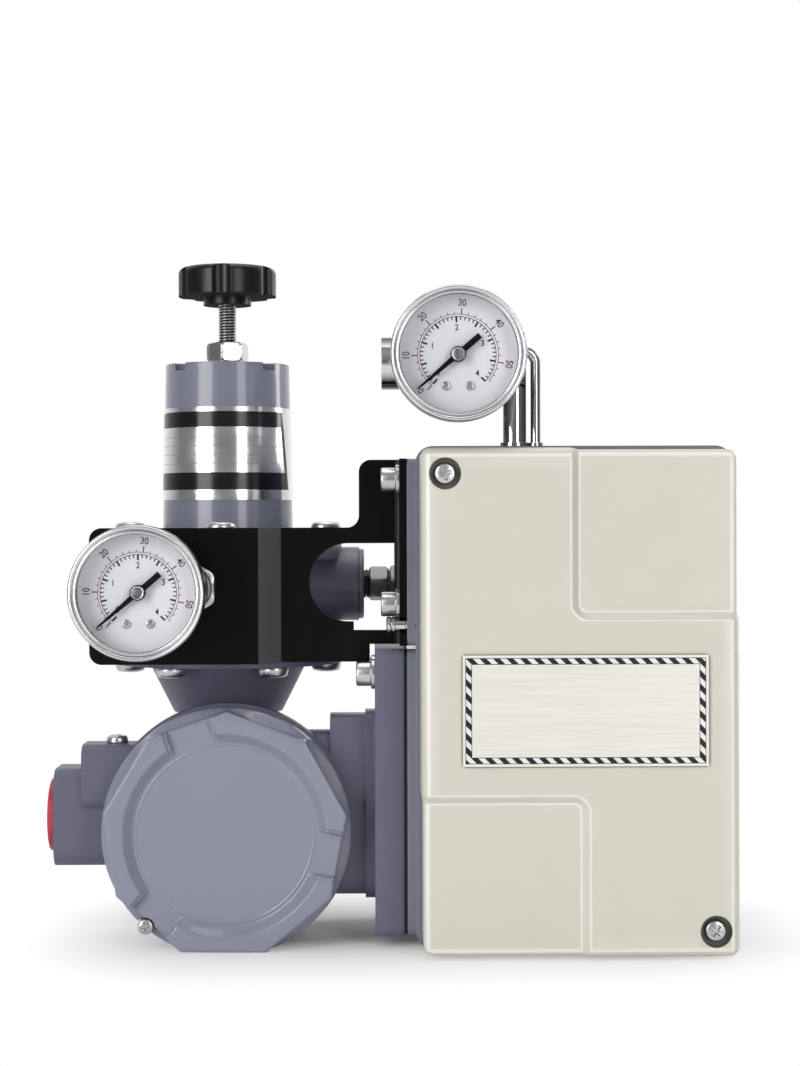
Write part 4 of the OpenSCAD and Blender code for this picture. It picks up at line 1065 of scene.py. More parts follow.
@dataclass
class ScrewSets:
    """Every set of screws that shows."""

    dresser: Dresser
    cover_seat_y: float = -60.0
    pcd_r: float = 42.6
    bonnet_seat_z: float = 171.0
    bowl_seat_z: float = 113.2
    lock_seat_y: float = -37.0
    earth_seat: Point = (-189.0, -10.5, 81.67)
    flange_ys: Pair = (-28.0, 0.0)
    outer_seat: Pair = (-81.2, 111.4)
    inner_seat: Pair = (-59.5, 15.8)
    bracket_seat: Pair = (-71.0, -30.3)
    bracket_zs: Pair = (191.0, 140.05)
    cap_head: Point = (5.0, 6.0, 3.0)
    washer: Pair = (6.2, 1.6)

    def build(self) -> None:
        """Make the sets and let each stand for its node."""
        self.one_set("cover_screws", [
            Fastener((x, self.cover_seat_y, z), Way.FRONT, head_r=4.5, head_h=3.3, shank_r=2.5,
                     length=43.0, spin=15 + 40 * i).pan("cover_screw")
            for i, (x, z) in enumerate(COVER_SCREWS)])
        self.one_set("bonnet_screws", [
            self.on_circle(angle, self.bonnet_seat_z, Way.UP, length=12.0, head_h=3.2)
            for angle in range(0, 360, 90)])
        self.one_set("bowl_screws", [
            self.on_circle(angle, self.bowl_seat_z, Way.DOWN, length=10.3, head_h=4.6)
            for angle in range(0, 360, 60)])
        self.one_set("cover_lock_screw", [
            Fastener((LOCK_SCREW[0], self.lock_seat_y, LOCK_SCREW[1]), Way.FRONT, head_r=3.3,
                     head_h=2.4, shank_r=1.5, length=12.0, spin=10).pan("lock_screw")])
        self.one_set("earth_screw", [
            Fastener(self.earth_seat, Way.UP, head_r=4.6, head_h=3.4, shank_r=2.5,
                     length=9.0, spin=30).pan("earthing_screw")])
        outer_x, outer_z = self.outer_seat
        inner_x, inner_z = self.inner_seat
        outer = [Fastener((outer_x, y, outer_z), Way.LEFT, *self.cap_head, length=21.8, spin=10)
                 .cap("flange_screw", *self.washer) for y in self.flange_ys]
        inner = [Fastener((inner_x, y, inner_z), Way.RIGHT, *self.cap_head, length=17.7, spin=10)
                 .cap("flange_screw") for y in self.flange_ys]
        self.one_set("flange_screws", outer + inner)
        self.one_set("bracket_screws", [
            Fastener((*self.bracket_seat, z), Way.LEFT, *self.cap_head, length=11.6, spin=25)
            .cap("bracket_screw", *self.washer) for z in self.bracket_zs])

    def on_circle(self, angle: float, z: float, way: Way, length: float, head_h: float) -> Piece:
        """One pan screw of a regulator flange.

        Args:
            angle: its place on the bolt circle in degrees.
            z: the height of its seat.
            way: the direction that its head looks in.
            length: the shank's length.
            head_h: the head's height.
        Returns:
            The screw.
        """
        x = REGULATOR_AXIS[0] + self.pcd_r * math.cos(math.radians(angle))
        y = REGULATOR_AXIS[1] + self.pcd_r * math.sin(math.radians(angle))
        screw = Fastener((x, y, z), way, head_r=6.5, head_h=head_h, shank_r=3.0, length=length,
                         spin=angle * 1.7 + 12)
        return screw.pan("flange_pan_screw")

    def one_set(self, node: str, screws: list[Piece]) -> None:
        """Join a set and let it stand for its node.

        Args:
            node: the CAD node.
            screws: the set's screws.
        """
        piece = Shapes.join(node + "_set", screws) if len(screws) > 1 else screws[0]
        piece.name = node + "_set"
        self.dresser.settle(piece, Finish.ZINC, Slot.FASTENER, node=node)


@dataclass
class FrontCover:
    """The beige cover with its raised Z-shaped field, soft edges and hollow back."""

    dresser: Dresser
    half_w: float = 63.0
    low: float = 1.5
    high: float = 203.0
    front: float = -64.0
    back: float = -39.0
    step: float = 2.5
    edge: float = 4.0
    edge_rows: int = 6
    corner: float = 4.0
    corner_points: int = 6
    split: float = 0.0
    top_recess: float = 138.3
    low_recess: float = 61.9
    recess_r: float = 3.0
    recess_inset: float = 0.8
    wall: float = 3.0
    side_wall: float = 3.7
    boss_r: float = 6.0
    hole_r: float = 2.7
    hole_depth: float = 30.0
    bore_r: float = 6.3
    bore_depth: float = 4.0
    bore_lip: float = 0.3
    coarse_lines: int = 18
    fine_lines: int = 22
    fine_from: float = -6.0
    fine_step: float = 0.5
    touch: float = 0.01
    sharp: float = 40.0

    def mid(self) -> float:
        """The height of the cover's middle."""
        return (self.low + self.high) / 2

    def quarter(self, a: float, b: float) -> float:
        """How far a point lies inside a quarter plane with a rounded corner.

        Args:
            a, b: the distances into it from its two sides.
        Returns:
            The distance from its edge, negative outside it.
        """
        r = self.recess_r
        if a < r and b < r:
            return r - math.hypot(r - a, r - b)
        return min(a, b)

    def recess(self, x: float, z: float) -> float:
        """How far a point lies inside the nearer recess, negative on the raised field."""
        upper = self.quarter(x - self.split, z - self.top_recess)
        return max(upper, self.quarter(self.split - x, self.low_recess - z))

    def drop(self, x: float, z: float) -> float:
        """How far the front lies behind the raised field at a point."""
        share = clamp((self.recess(x, z) + self.edge) / self.edge)
        return self.step * share * share * (3 - 2 * share)

    def spread(self, start: float, stop: float, near: tuple[float, ...]) -> list[float]:
        """Lay out grid lines.

        Args:
            start, stop: the first and the last line.
            near: the places around which the lines lie close together.
        Returns:
            The lines in rising order.
        """
        count = self.coarse_lines
        lines = {round(start + (stop - start) * i / count, 4) for i in range(count + 1)}
        for place in near:
            lines |= {round(place + self.fine_from + self.fine_step * i, 4)
                      for i in range(self.fine_lines)}
        return sorted(line for line in lines if start <= line <= stop)

    def outline(self, xs: list[float], zs: list[float], out: float) -> list[Pair]:
        """A loop at a distance out from the inner grid's edge, its corners round.

        Args:
            xs, zs: the inner grid's lines.
            out: the distance.
        Returns:
            The loop, anticlockwise from the lower left.
        """
        loop: list[Pair] = []
        sides = [[(x, zs[0] - out) for x in xs], [(xs[-1] + out, z) for z in zs],
                 [(x, zs[-1] + out) for x in reversed(xs)],
                 [(xs[0] - out, z) for z in reversed(zs)]]
        pivots = [(xs[-1], zs[0], -90.0), (xs[-1], zs[-1], 0.0),
                  (xs[0], zs[-1], 90.0), (xs[0], zs[0], 180.0)]
        for side, (px, pz, start) in zip(sides, pivots):
            loop += side
            for i in range(1, self.corner_points):
                a = math.radians(start + 90.0 * i / self.corner_points)
                loop.append((px + out * math.cos(a), pz + out * math.sin(a)))
        return loop

    def grid_edge(self, wide: int, deep: int) -> list[int]:
        """The front grid's edge as a loop that matches an outline, each corner repeated.

        Args:
            wide, deep: how many points the grid has across and up.
        Returns:
            The points' numbers, anticlockwise from the lower left.
        """
        corners = [wide - 1, deep * wide - 1, (deep - 1) * wide, 0]
        runs = [list(range(wide)), [j * wide + wide - 1 for j in range(deep)],
                [(deep - 1) * wide + i for i in reversed(range(wide))],
                [j * wide for j in reversed(range(deep))]]
        loop: list[int] = []
        for run, corner in zip(runs, corners):
            loop += run + [corner] * (self.corner_points - 1)
        return loop

    def edge_row(self, xs: list[float], zs: list[float], out: float, fall: float) -> list[Point]:
        """One row of the rounded edge, or of the back.

        Args:
            xs, zs: the inner grid's lines.
            out: how far the row lies outside the edge's start.
            fall: how far it lies behind the front.
        Returns:
            The row's points.
        """
        row = []
        for x, z in self.outline(xs, zs, out * self.corner / self.edge):
            down = self.drop(x, z)
            tuck = self.recess_inset * down / self.step * out / self.edge
            y = self.front + fall + down * (1 - fall / self.edge)
            if fall > self.edge:
                y = self.back
            at_side = abs(x) > xs[-1] - self.touch
            at_end = z > zs[-1] - self.touch or z < zs[0] + self.touch
            row.append((x - math.copysign(tuck, x) if at_side else x, y,
                        z - math.copysign(tuck, z - self.mid()) if at_end else z))
        return row

    def shell(self) -> Piece:
        """The solid outer form, before its hollow and counterbores are cut.

        Returns:
            The form.
        """
        xs = self.spread(-self.half_w + self.corner, self.half_w - self.corner, (self.split,))
        zs = self.spread(self.low + self.corner, self.high - self.corner,
                         (self.low_recess, self.top_recess))
        points: list[Point] = [(x, self.front + self.drop(x, z), z) for z in zs for x in xs]
        faces: list[Face] = []
        wide = len(xs)
        for j in range(len(zs) - 1):
            for i in range(wide - 1):
                a = j * wide + i
                faces.append((a, a + 1, a + wide + 1, a + wide))
        turns = [math.radians(90 * (i + 1) / self.edge_rows) for i in range(self.edge_rows)]
        steps = [(self.edge * math.sin(t), self.edge * (1 - math.cos(t))) for t in turns]
        loops = [self.grid_edge(wide, len(zs))]
        for out, fall in steps + [(self.edge, self.back - self.front)]:
            row = self.edge_row(xs, zs, out, fall)
            loops.append(list(range(len(points), len(points) + len(row))))
            points += row
        for near, far in zip(loops, loops[1:]):
            count = len(near)
            for i in range(count):
                k = (i + 1) % count
                quad = [near[i], far[i], far[k], near[k]]
                if near[i] == near[k]:
                    quad.pop()
                if len(set(quad)) >= 3 and quad[1] != quad[2]:
                    faces.append(tuple(quad))
        faces.append(tuple(loops[-1]))
        return Shapes.mesh("front_cover_skin", points, faces, Matrix.Identity(4), self.sharp)

    def hollow(self, floor_y: float) -> Piece:
        """The block that hollows the cover from behind.

        Args:
            floor_y: the depth that it reaches forward to.
        Returns:
            The block.
        """
        half_w = self.half_w - self.side_wall
        half_h = (self.high - self.low) / 2 - self.side_wall
        low, high = self.mid() - half_h, self.mid() + half_h
        corners = ((-half_w, low), (half_w, low), (half_w, high), (-half_w, high))
        points = [(x, y, z) for y in (floor_y, self.back + 2 * OVERLAP) for x, z in corners]
        return Shapes.mesh("cover_hollow", points, list(BOX_FACES), Matrix.Identity(4))

    def build(self) -> None:
        """Make the cover and let it stand for its node."""
        cover = self.shell()
        floor_y = self.front + self.step + self.wall
        Shapes.carve(cover, self.hollow(floor_y))
        boss_outline = ((self.boss_r, 0.0), (self.boss_r, self.back - floor_y + OVERLAP))
        bore_outline = ((self.hole_r, -self.hole_depth), (self.hole_r, 0.0), (self.bore_r, 0.0),
                        (self.bore_r, self.bore_depth + 2 * OVERLAP))
        for x, z in COVER_SCREWS:
            boss_place = facing((x, floor_y - OVERLAP, z), Way.BACK)
            Shapes.carve(cover, Shapes.lathe("cover_boss", boss_outline, boss_place), Cut.ADD)
            bore_place = facing((x, self.front + self.bore_depth, z), Way.FRONT)
            Shapes.carve(cover, Shapes.lathe("counterbore", bore_outline, bore_place))
        Shapes.smooth(cover.data, self.sharp)
        # Faces inside the counterbores take the darker second finish: painted shade.
        for face in cover.data.polygons:
            at = face.center / MM
            near = min(math.hypot(at.x - x, at.z - z) for x, z in COVER_SCREWS)
            inside = near < self.bore_r + 2 * self.touch and at.y > self.front + self.bore_lip
            face.material_index = 1 if inside else 0
        self.dresser.settle(cover, Finish.BEIGE, Slot.COVER_PAINT, node="front_cover",
                            second=Finish.COUNTERBORE_PAINTED_SHADE)


@dataclass
class JunctionCover:
    """The junction box's nine-sided cover with its dished face, grip gaps and round shoulder."""

    dresser: Dresser
    middle: Pair = (-142.0, 47.17)
    front: float = -43.0
    back: float = -23.0
    sides: int = 9
    side_turn: float = 9.0
    corner_r: float = 50.2
    shoulder_r: float = 50.9
    shoulder: Pairs = ((7.4, 0.0), (8.4, 0.3), (9.6, 0.85), (10.2, 1.0))
    disc_r: float = 37.4
    disc_rings: tuple[float, ...] = (1.0, 12.0, 24.0)
    rim_steps: tuple[float, ...] = (-2.4, -1.8, -1.5, -1.3, -1.1, -0.8, -0.2, 0.3, 1.2, 2.2, 3.2,
                                    3.8, 4.2, 5.0)
    rim_rings: tuple[float, ...] = (44.0, 45.4)
    rim_h: float = 4.0
    ridge_h: float = 0.35
    ridge_in: float = 1.3
    ridge_w: float = 0.3
    edge: float = 1.5
    edge_rows: int = 6
    gap_half: float = 8.8
    gap_soft: float = 0.5
    ledge_w: float = 1.5
    ledge_share: float = 0.3
    gaps: tuple[float, ...] = (109.0, 229.0, 349.0)
    lock_r: float = 3.8
    points: int = 720
    sharp: float = 38.0

    def angles(self) -> list[float]:
        """The angles of a ring's points in degrees."""
        return [360.0 * j / self.points for j in range(self.points)]

    def side_r(self, angle: float) -> float:
        """Distance to the nine-sided outline.

        Args:
            angle: the angle in degrees.
        Returns:
            The distance from the middle.
        """
        half = 180.0 / self.sides
        turn = math.radians((angle - self.side_turn) % (2 * half) - half)
        return self.corner_r * math.cos(math.radians(half)) / math.cos(turn)

    def gap(self, radius: float, angle: float) -> float:
        """How far a point lies in a grip gap.

        Args:
            radius: its distance from the middle.
            angle: its angle in degrees.
        Returns:
            0 on the rim, 1 on the gap's floor, and a share on the ledge between them.
        """
        share = 0.0
        for middle in self.gaps:
            turn = math.radians(angle - middle)
            if math.cos(turn) > 0:
                off = abs(radius * math.sin(turn))
                near = clamp((self.gap_half - off) / self.gap_soft + 0.5)
                far = clamp((self.gap_half + self.ledge_w - off) / self.gap_soft + 0.5)
                share = max(share, (1 - self.ledge_share) * near + self.ledge_share * far)
        return share

    def face_y(self, radius: float, angle: float) -> float:
        """Depth of the front at a place.

        Args:
            radius: the place's distance from the middle.
            angle: its angle in degrees.
        Returns:
            The place's Y.
        """
        rise = clamp((radius - self.disc_r) / self.rim_h)
        from_ridge = (radius - self.disc_r + self.ridge_in) / self.ridge_w
        ridge = self.ridge_h * math.exp(-from_ridge ** 2)
        return self.front + self.rim_h * (1 - rise * (1 - self.gap(radius, angle))) - ridge

    def spot(self, radius: float, angle: float, y: float) -> Point:
        """A place at a radius, an angle in degrees and a depth."""
        x, z, _ = polar(radius, math.radians(angle), y)
        return (self.middle[0] + x, y, self.middle[1] + z)

    def ring(self, radius: float) -> Ring:
        """One ring of the dished face and the rim."""
        return [self.spot(radius, angle, self.face_y(radius, angle)) for angle in self.angles()]

    def shoulder_reach(self, angle: float) -> float:
        """The shoulder's radius at an angle in degrees, cut short where it would pass the floor."""
        below = -math.sin(math.radians(angle))
        return min(self.shoulder_r, self.middle[1] / below) if below > 0 else self.shoulder_r

    def side(self) -> list[Ring]:
        """The rings of the rounded edge, the flats, the shoulder and the back.

        Returns:
            The rings, from the front.
        """
        rows: list[Ring] = []
        for step in range(self.edge_rows):
            turn = math.radians(90.0 * step / (self.edge_rows - 1))
            inset = self.edge * (1 - math.sin(turn))
            fall = self.edge * (1 - math.cos(turn))
            rows.append([self.spot(self.side_r(a) - inset, a, self.face_y(self.side_r(a), a) + fall)
                         for a in self.angles()])
        for depth, share in self.shoulder + ((self.back - self.front, 1.0),):
            row = []
            for a in self.angles():
                flat = self.side_r(a)
                radius = flat + share * max(0.0, self.shoulder_reach(a) - flat)
                row.append(self.spot(radius, a, self.front + depth))
            rows.append(row)
        return rows

    def build(self) -> None:
        """Make the cover and let it stand for its node."""
        rim = [self.disc_r + step for step in self.rim_steps]
        radii = [*self.disc_rings, *rim, *self.rim_rings]
        rows = [self.ring(radius) for radius in radii] + self.side()
        cover = Shapes.loft("junction_box_cover_skin", rows, Matrix.Identity(4), self.sharp)
        outline = ((self.lock_r, 0.0), (self.lock_r, self.back - self.front + 2 * OVERLAP))
        place = facing((LOCK_SCREW[0], self.front - OVERLAP, LOCK_SCREW[1]), Way.BACK)
        Shapes.carve(cover, Shapes.lathe("lock_clearance", outline, place))
        Shapes.smooth(cover.data, self.sharp)
        # The cover takes the lighter copy of the grey enamel: painted light.
        self.dresser.settle(cover, Finish.GREY_PAINTED_LIT, Slot.GREY_PAINT, node="junction_box_cover")


@dataclass(frozen=True)
class Scale:
    """One printed scale. Angles are in degrees from the dial's zero, and marks run clockwise.

    A mark is its two radii and its width, and a ring its radius, its width and its two ends.
    """

    name: str
    finish: Finish
    start: float
    step: float
    marks: int
    short: Point
    long: Point
    number_start: float
    number_step: float
    first_number: float
    numbers: int
    unit: int
    number_r: float
    number_h: float
    radial: bool
    ring: tuple[float, float, float, float] | None = None
    long_every: int = 5


@dataclass
class Gauge:
    """One pressure gauge: bezel, dial with its printing, and the pointer's cap."""

    SCALES: ClassVar[tuple[Scale, ...]] = (
        Scale("outer", Finish.DIAL_MAROON, start=0.0, step=9.6, marks=29,
              short=(16.05, 17.05, 0.3), long=(16.05, 18.5, 0.46),
              number_start=0.0, number_step=48.0, first_number=-5.0, numbers=6, unit=10,
              number_r=20.5, number_h=2.9, radial=True),
        Scale("inner", Finish.DIAL_INK, start=0.4, step=6.85, marks=41,
              short=(13.75, 15.15, 0.45), long=(12.8, 15.15, 0.75),
              number_start=0.6, number_step=68.5, first_number=-7.0, numbers=5, unit=1,
              number_r=10.7, number_h=2.6, radial=False, ring=(15.1, 0.26, -273.6, 0.4)),
    )
    RED_RING: ClassVar[tuple[float, float, float, float]] = (16.05, 0.28, -269.0, 0.0)
    ARC_STEPS: ClassVar[int] = 120
    BEZEL: ClassVar[Outline] = (
        (25.65, 3.2), (25.65, 10.3), (26.6, 10.3), (26.9, 9.9), (26.9, 1.6), (26.75, 0.8),
        (26.45, 0.25), (26.0, 0.0), (25.5, 0.15), (25.05, 0.7), (24.75, 1.0), (24.45, 0.65),
        (24.0, 0.5), (23.5, 0.75), (23.2, 1.3), (23.2, 3.2))
    DIAL_RIM: ClassVar[Outline] = ((24.3, 0.0), (24.3, 0.3), (24.1, 0.4), (23.6, 0.4))
    COLLAR: ClassVar[Outline] = (
        (1.9, -0.1), (2.75, -0.1), (2.75, 0.15), (2.6, 0.3), (2.3, 0.32), (2.0, 0.22), (1.9, 0.05))
    HUB: ClassVar[Outline] = ((1.85, -0.1), (1.85, 0.2), (1.7, 0.5), (1.2, 0.68), (0.4, 0.72))

    dresser: Dresser
    name: str
    at: Pair
    pointer: Body
    front: float = -68.0
    dial_face: Pair = (23.2, 1.2)
    dial_y: float = -58.0
    dial_t: float = 0.15
    cap_y: float = -61.8
    screw_at: Pair = (4.75, -12.4)
    print_lift: float = 0.04
    print_t: float = 0.04
    digit_size: float = 1.35
    digit_narrow: float = 0.86
    digit_bold: float = 0.05
    zero: float = 227.0

    def on_dial(self, lift: float) -> Matrix:
        """A placing on the dial whose local X is right, Y is up and Z looks to the front."""
        turn = Matrix(((1, 0, 0, 0), (0, 0, -1, 0), (0, 1, 0, 0), (0, 0, 0, 1)))
        return Matrix.Translation(Vector((self.at[0], self.dial_y - lift, self.at[1])) * MM) @ turn

    def on_print(self) -> Matrix:
        """The placing of the print's front face."""
        return self.on_dial(self.dial_t + self.print_lift)

    def bezel(self) -> Piece:
        """The stainless bezel with its double edge."""
        place = facing((self.at[0], self.front, self.at[1]), Way.BACK)
        return Shapes.ring(self.name + "_bezel", self.BEZEL, place, count=160, sharp=50.0)

    def dial(self) -> Piece:
        """The dial disc with a raised rim inside the bezel."""
        outline = self.DIAL_RIM + tuple((radius, self.dial_t) for radius in self.dial_face)
        return Shapes.lathe(self.name + "_dial", outline, self.on_dial(0.0), count=128)

    def strokes(self, scale: Scale) -> Piece:
        """A scale's radial marks.

        Args:
            scale: the scale.
        Returns:
            The marks as one piece.
        """
        points: list[Point] = []
        faces: list[Face] = []
        for i in range(scale.marks):
            inner, outer, width = scale.short if i % scale.long_every else scale.long
            angle = math.radians(self.zero + scale.start - scale.step * i)
            c, s = math.cos(angle), math.sin(angle)
            first = len(points)
            for height in (0.0, -self.print_t):
                for radius, side in ((inner, -1), (outer, -1), (outer, 1), (inner, 1)):
                    off = side * width / 2
                    points.append((radius * c - off * s, radius * s + off * c, height))
            faces += [tuple(first + corner for corner in face) for face in BOX_FACES]
        return Shapes.mesh(f"{self.name}_{scale.name}_marks", points, faces, self.on_print())

    def arc(self, name: str, radius: float, width: float, start: float, stop: float) -> Piece:
        """A printed arc.

        Args:
            name: the piece's name after the gauge's own.
            radius: the radius of its middle.
            width: its width.
            start, stop: its ends in degrees from the dial's zero.
        Returns:
            The arc.
        """
        inner, outer = radius - width / 2, radius + width / 2
        section = ((inner, 0.0), (outer, 0.0), (outer, -self.print_t), (inner, -self.print_t))
        first, last = self.zero + start, self.zero + stop
        rings = []
        for i in range(self.ARC_STEPS + 1):
            angle = math.radians(first + (last - first) * i / self.ARC_STEPS)
            rings.append([polar(r, angle, height) for r, height in section])
        return Shapes.loft(f"{self.name}_{name}", rings, self.on_print())

    def number(self, scale: Scale, index: int) -> Piece:
        """One number of a scale, as a mesh.

        Args:
            scale: the scale.
            index: which number it is, from 0.
        Returns:
            The number.
        """
        name = self.name + "_number"
        curve = bpy.data.curves.new(name, "FONT")
        curve.body = str(index * scale.unit)
        curve.align_x = "CENTER"
        curve.align_y = "CENTER"
        curve.size = scale.number_h * self.digit_size * MM
        curve.resolution_u = 4
        curve.offset = self.digit_bold * MM
        curve.extrude = self.print_t / 2 * MM
        digits = put(name, curve)
        data = Shapes.worked_out(digits)
        bpy.data.objects.remove(digits)
        angle = self.zero + scale.first_number
        if index > 0:
            angle = self.zero + scale.number_start - scale.number_step * index
        at = polar(scale.number_r, math.radians(angle), -self.print_t / 2)
        spin = math.radians(angle - 90) if scale.radial else 0.0
        data.transform(self.on_print() @ Matrix.Translation(Vector(at) * MM)
                       @ Matrix.Rotation(spin, 4, "Z")
                       @ Matrix.Scale(self.digit_narrow, 4, (1, 0, 0)))
        return put(name, data)

    def printing(self) -> None:
        """Both scales, the outer one in maroon and the inner one in black, and a red ring."""
        for scale in self.SCALES:
            pieces = [self.strokes(scale)]
            if scale.ring is not None:
                pieces.append(self.arc(scale.name + "_ring", *scale.ring))
            pieces += [self.number(scale, index) for index in range(scale.numbers)]
            joined = Shapes.join(f"{self.name}_{scale.name}_scale", pieces)
            self.dresser.settle(joined, scale.finish, Slot.POINTER_BLACK)
        ring = self.arc("red_ring", *self.RED_RING)
        self.dresser.settle(ring, Finish.DIAL_RED, Slot.POINTER_BLACK)

    def cap(self) -> None:
        """The pointer's bright ring, and the grey hub inside it."""
        place = facing((self.at[0], self.cap_y, self.at[1]), Way.FRONT)
        ring = Shapes.ring(self.name + "_pointer_ring", self.COLLAR, place, count=48)
        core = Shapes.lathe(self.name + "_pointer_screw", self.HUB, place, count=48)
        self.dresser.settle(ring, Finish.STAINLESS, Slot.MACHINED_STEEL, self.pointer)
        self.dresser.settle(core, Finish.HUB, Slot.MACHINED_STEEL, self.pointer)

    def build(self) -> Piece:
        """Make the gauge's pieces.

        Returns:
            The bezel, which the pair of gauges joins into one piece.
        """
        self.dresser.settle(self.dial(), Finish.DIAL, Slot.GAUGE_STEEL)
        self.printing()
        for side in (-1, 1):
            at = (self.at[0] + side * self.screw_at[0], self.dial_y - self.dial_t,
                  self.at[1] + self.screw_at[1])
            screw = Fastener(at, Way.FRONT, head_r=1.85, head_h=0.95, shank_r=0.6, length=0.1,
                             spin=25 * side)
            self.dresser.settle(screw.pan(self.name + "_dial_screw"), Finish.ZINC, Slot.FASTENER)
        self.cap()
        return self.bezel()


@dataclass
class Regulator:
    """Turned and threaded pieces of the air-set regulator."""

    LIP: ClassVar[Outline] = (
        (7.0, 0.0), (15.2, 0.0), (15.2, 1.6), (14.6, 2.2), (7.4, 2.2), (7.0, 1.8))
    VENT: ClassVar[Outline] = (
        (2.6, 0.0), (2.6, 4.6), (2.85, 4.8), (2.85, 8.2), (2.6, 8.4), (2.6, 9.0), (2.85, 9.2),
        (2.85, 13.2), (3.4, 13.4), (3.4, 14.6), (3.1, 14.8), (3.1, 15.1), (3.4, 15.3), (3.4, 16.3),
        (3.0, 16.9), (1.6, 17.0), (1.5, 16.2), (0.6, 16.0))
    PLUG_SHANK: ClassVar[Outline] = ((6.4, -15.0), (6.4, 0.0))
    PLUG_FACE: ClassVar[Outline] = (
        (9.6, 3.7), (9.2, 3.7), (8.8, 2.9), (6.0, 2.4), (1.0, 2.3))

    dresser: Dresser
    stud: Thread = Thread(radius=4.0, pitch=1.25, length=47.3)
    stud_z: float = 231.2
    nut_z: float = 242.0
    nut_spin: float = 16.6
    nut_across: float = 16.0
    nut_top: float = 10.0
    nut_hole: float = 4.1
    washer_r: float = 10.0
    washer_t: float = 1.5
    washer_edge: float = 0.3
    pipe: Thread = Thread(radius=6.4, pitch=1.34, length=44.5)
    pipe_x: float = -100.0
    pipe_spin: float = 15.0
    pipe_hex: Point = (13.4, 16.5, 24.8)
    pipe_nut: Point = (14.2, 25.4, 31.5)
    pipe_hole: float = 5.5
    plug_at: Pair = (-156.3, -37.0)
    plug_across: float = 20.5
    plug_flat_h: float = 2.6
    plug_chamfer_h: float = 3.2
    plug_corner_r: float = 11.2
    plug_turn: float = 30.0
    lip_x: float = -88.0
    vent_at: Point = (-59.5, -34.0, 131.75)
    face_share: float = 0.48
    low_chamfer: Point = (0.5, 1.4, 0.94)
    high_chamfer: Point = (0.5, 1.5, 0.93)
    hole_chamfer: Pair = (0.7, 0.6)
    points: int = 72
    sharp: float = 25.0

    def lock_nut(self) -> Piece:
        """The lock nut with chamfered corners on its washer.

        Returns:
            The two as one piece.
        """
        hole, r, t, edge = self.nut_hole, self.washer_r, self.washer_t, self.washer_edge
        place = facing((*REGULATOR_AXIS, self.nut_z), Way.UP, self.nut_spin)
        outline = ((hole, 0), (r, 0), (r, t - edge), (r - edge, t), (hole, t))
        washer = Shapes.ring("lock_washer", outline, place, self.points)
        nut = self.nut("lock_nut_hex", self.nut_across, t, self.nut_top, hole, place)
        return Shapes.join("lock_nut_and_washer", [nut, washer])

    def nut(self, name: str, across: float, low: float, high: float, hole: float,
            place: Matrix) -> Piece:
        """A hexagon nut with chamfered corners and a hole.

        Args:
            name: the piece's name.
            across: the distance across its flats.
            low, high: the heights of its two ends.
            hole: the hole's radius.
            place: where the nut's own frame is.
        Returns:
            The nut.
        """
        corner, face_r = across / math.sqrt(3), across * self.face_share
        count = self.points
        low_cut, low_full, low_share = self.low_chamfer
        high_cut, high_full, high_share = self.high_chamfer
        hole_out, hole_in = self.hole_chamfer
        rings = [
            Shapes.circle(hole, low, count),
            Shapes.circle(face_r, low, count),
            Shapes.hexagon(across, low + low_cut, corner * low_share, count),
            Shapes.hexagon(across, low + low_full, count=count),
            Shapes.hexagon(across, high - high_full, count=count),
            Shapes.hexagon(across, high - high_cut, corner * high_share, count),
            Shapes.circle(face_r, high, count),
            Shapes.circle(hole + hole_out, high, count),
            Shapes.circle(hole, high - hole_in, count),
        ]
        return Shapes.hoop(name, rings, place, self.sharp)

    def nipple(self) -> Piece:
        """The threaded outlet nipple with its two hexagons.

        Returns:
            The nipple.
        """
        place = facing((self.pipe_x, REGULATOR_AXIS[1], PORT_Z), Way.RIGHT, self.pipe_spin)
        rod = self.pipe.build("nipple_thread", place)
        hexes = [self.nut("nipple_hex", *self.pipe_hex, self.pipe_hole, place),
                 self.nut("nipple_nut", *self.pipe_nut, self.pipe_hole, place)]
        return Shapes.join("outlet_nipple_threaded", [rod] + hexes)

    def plug(self) -> Piece:
        """The hexagon plug with a dished face.

        Returns:
            The plug.
        """
        count, across = self.points, self.plug_across
        rings = [Shapes.circle(radius, height, count) for radius, height in self.PLUG_SHANK]
        rings += [Shapes.hexagon(across, 0.0, count=count),
                  Shapes.hexagon(across, self.plug_flat_h, count=count),
                  Shapes.hexagon(across, self.plug_chamfer_h, self.plug_corner_r, count)]
        rings += [Shapes.circle(radius, height, count) for radius, height in self.PLUG_FACE]
        c, s = polar(1.0, math.radians(self.plug_turn), 0.0)[:2]
        turned = [[(x * c - y * s, x * s + y * c, z) for x, y, z in ring] for ring in rings]
        place = facing((*self.plug_at, PORT_Z), Way.FRONT)
        return Shapes.loft("port_plug_hex", turned, place, self.sharp)

    def port_lip(self) -> Piece:
        """The outlet port's narrow end ring."""
        place = facing((self.lip_x, REGULATOR_AXIS[1], PORT_Z), Way.RIGHT)
        return Shapes.ring("outlet_port_lip", self.LIP, place, count=96)

    def vent(self) -> Piece:
        """The vent plug, a round head with two grooves on a plain shank."""
        place = facing(self.vent_at, Way.LEFT)
        return Shapes.lathe("vent_plug_head", self.VENT, place, count=64, sharp=30.0)

    def build(self) -> None:
        """Make the pieces and let them stand for their nodes."""
        settle, steel = self.dresser.settle, Slot.MACHINED_STEEL
        settle(self.vent(), Finish.CHROME, Slot.CHROME, node="vent_plug")
        # The port lip takes the slightly darker copy of the grey enamel: painted shade.
        settle(self.port_lip(), Finish.GREY_SLIGHT_PAINTED_SHADE, Slot.GREY_PAINT)
        stud = self.stud.build("adjusting_stud_thread",
                               facing((*REGULATOR_AXIS, self.stud_z), Way.UP))
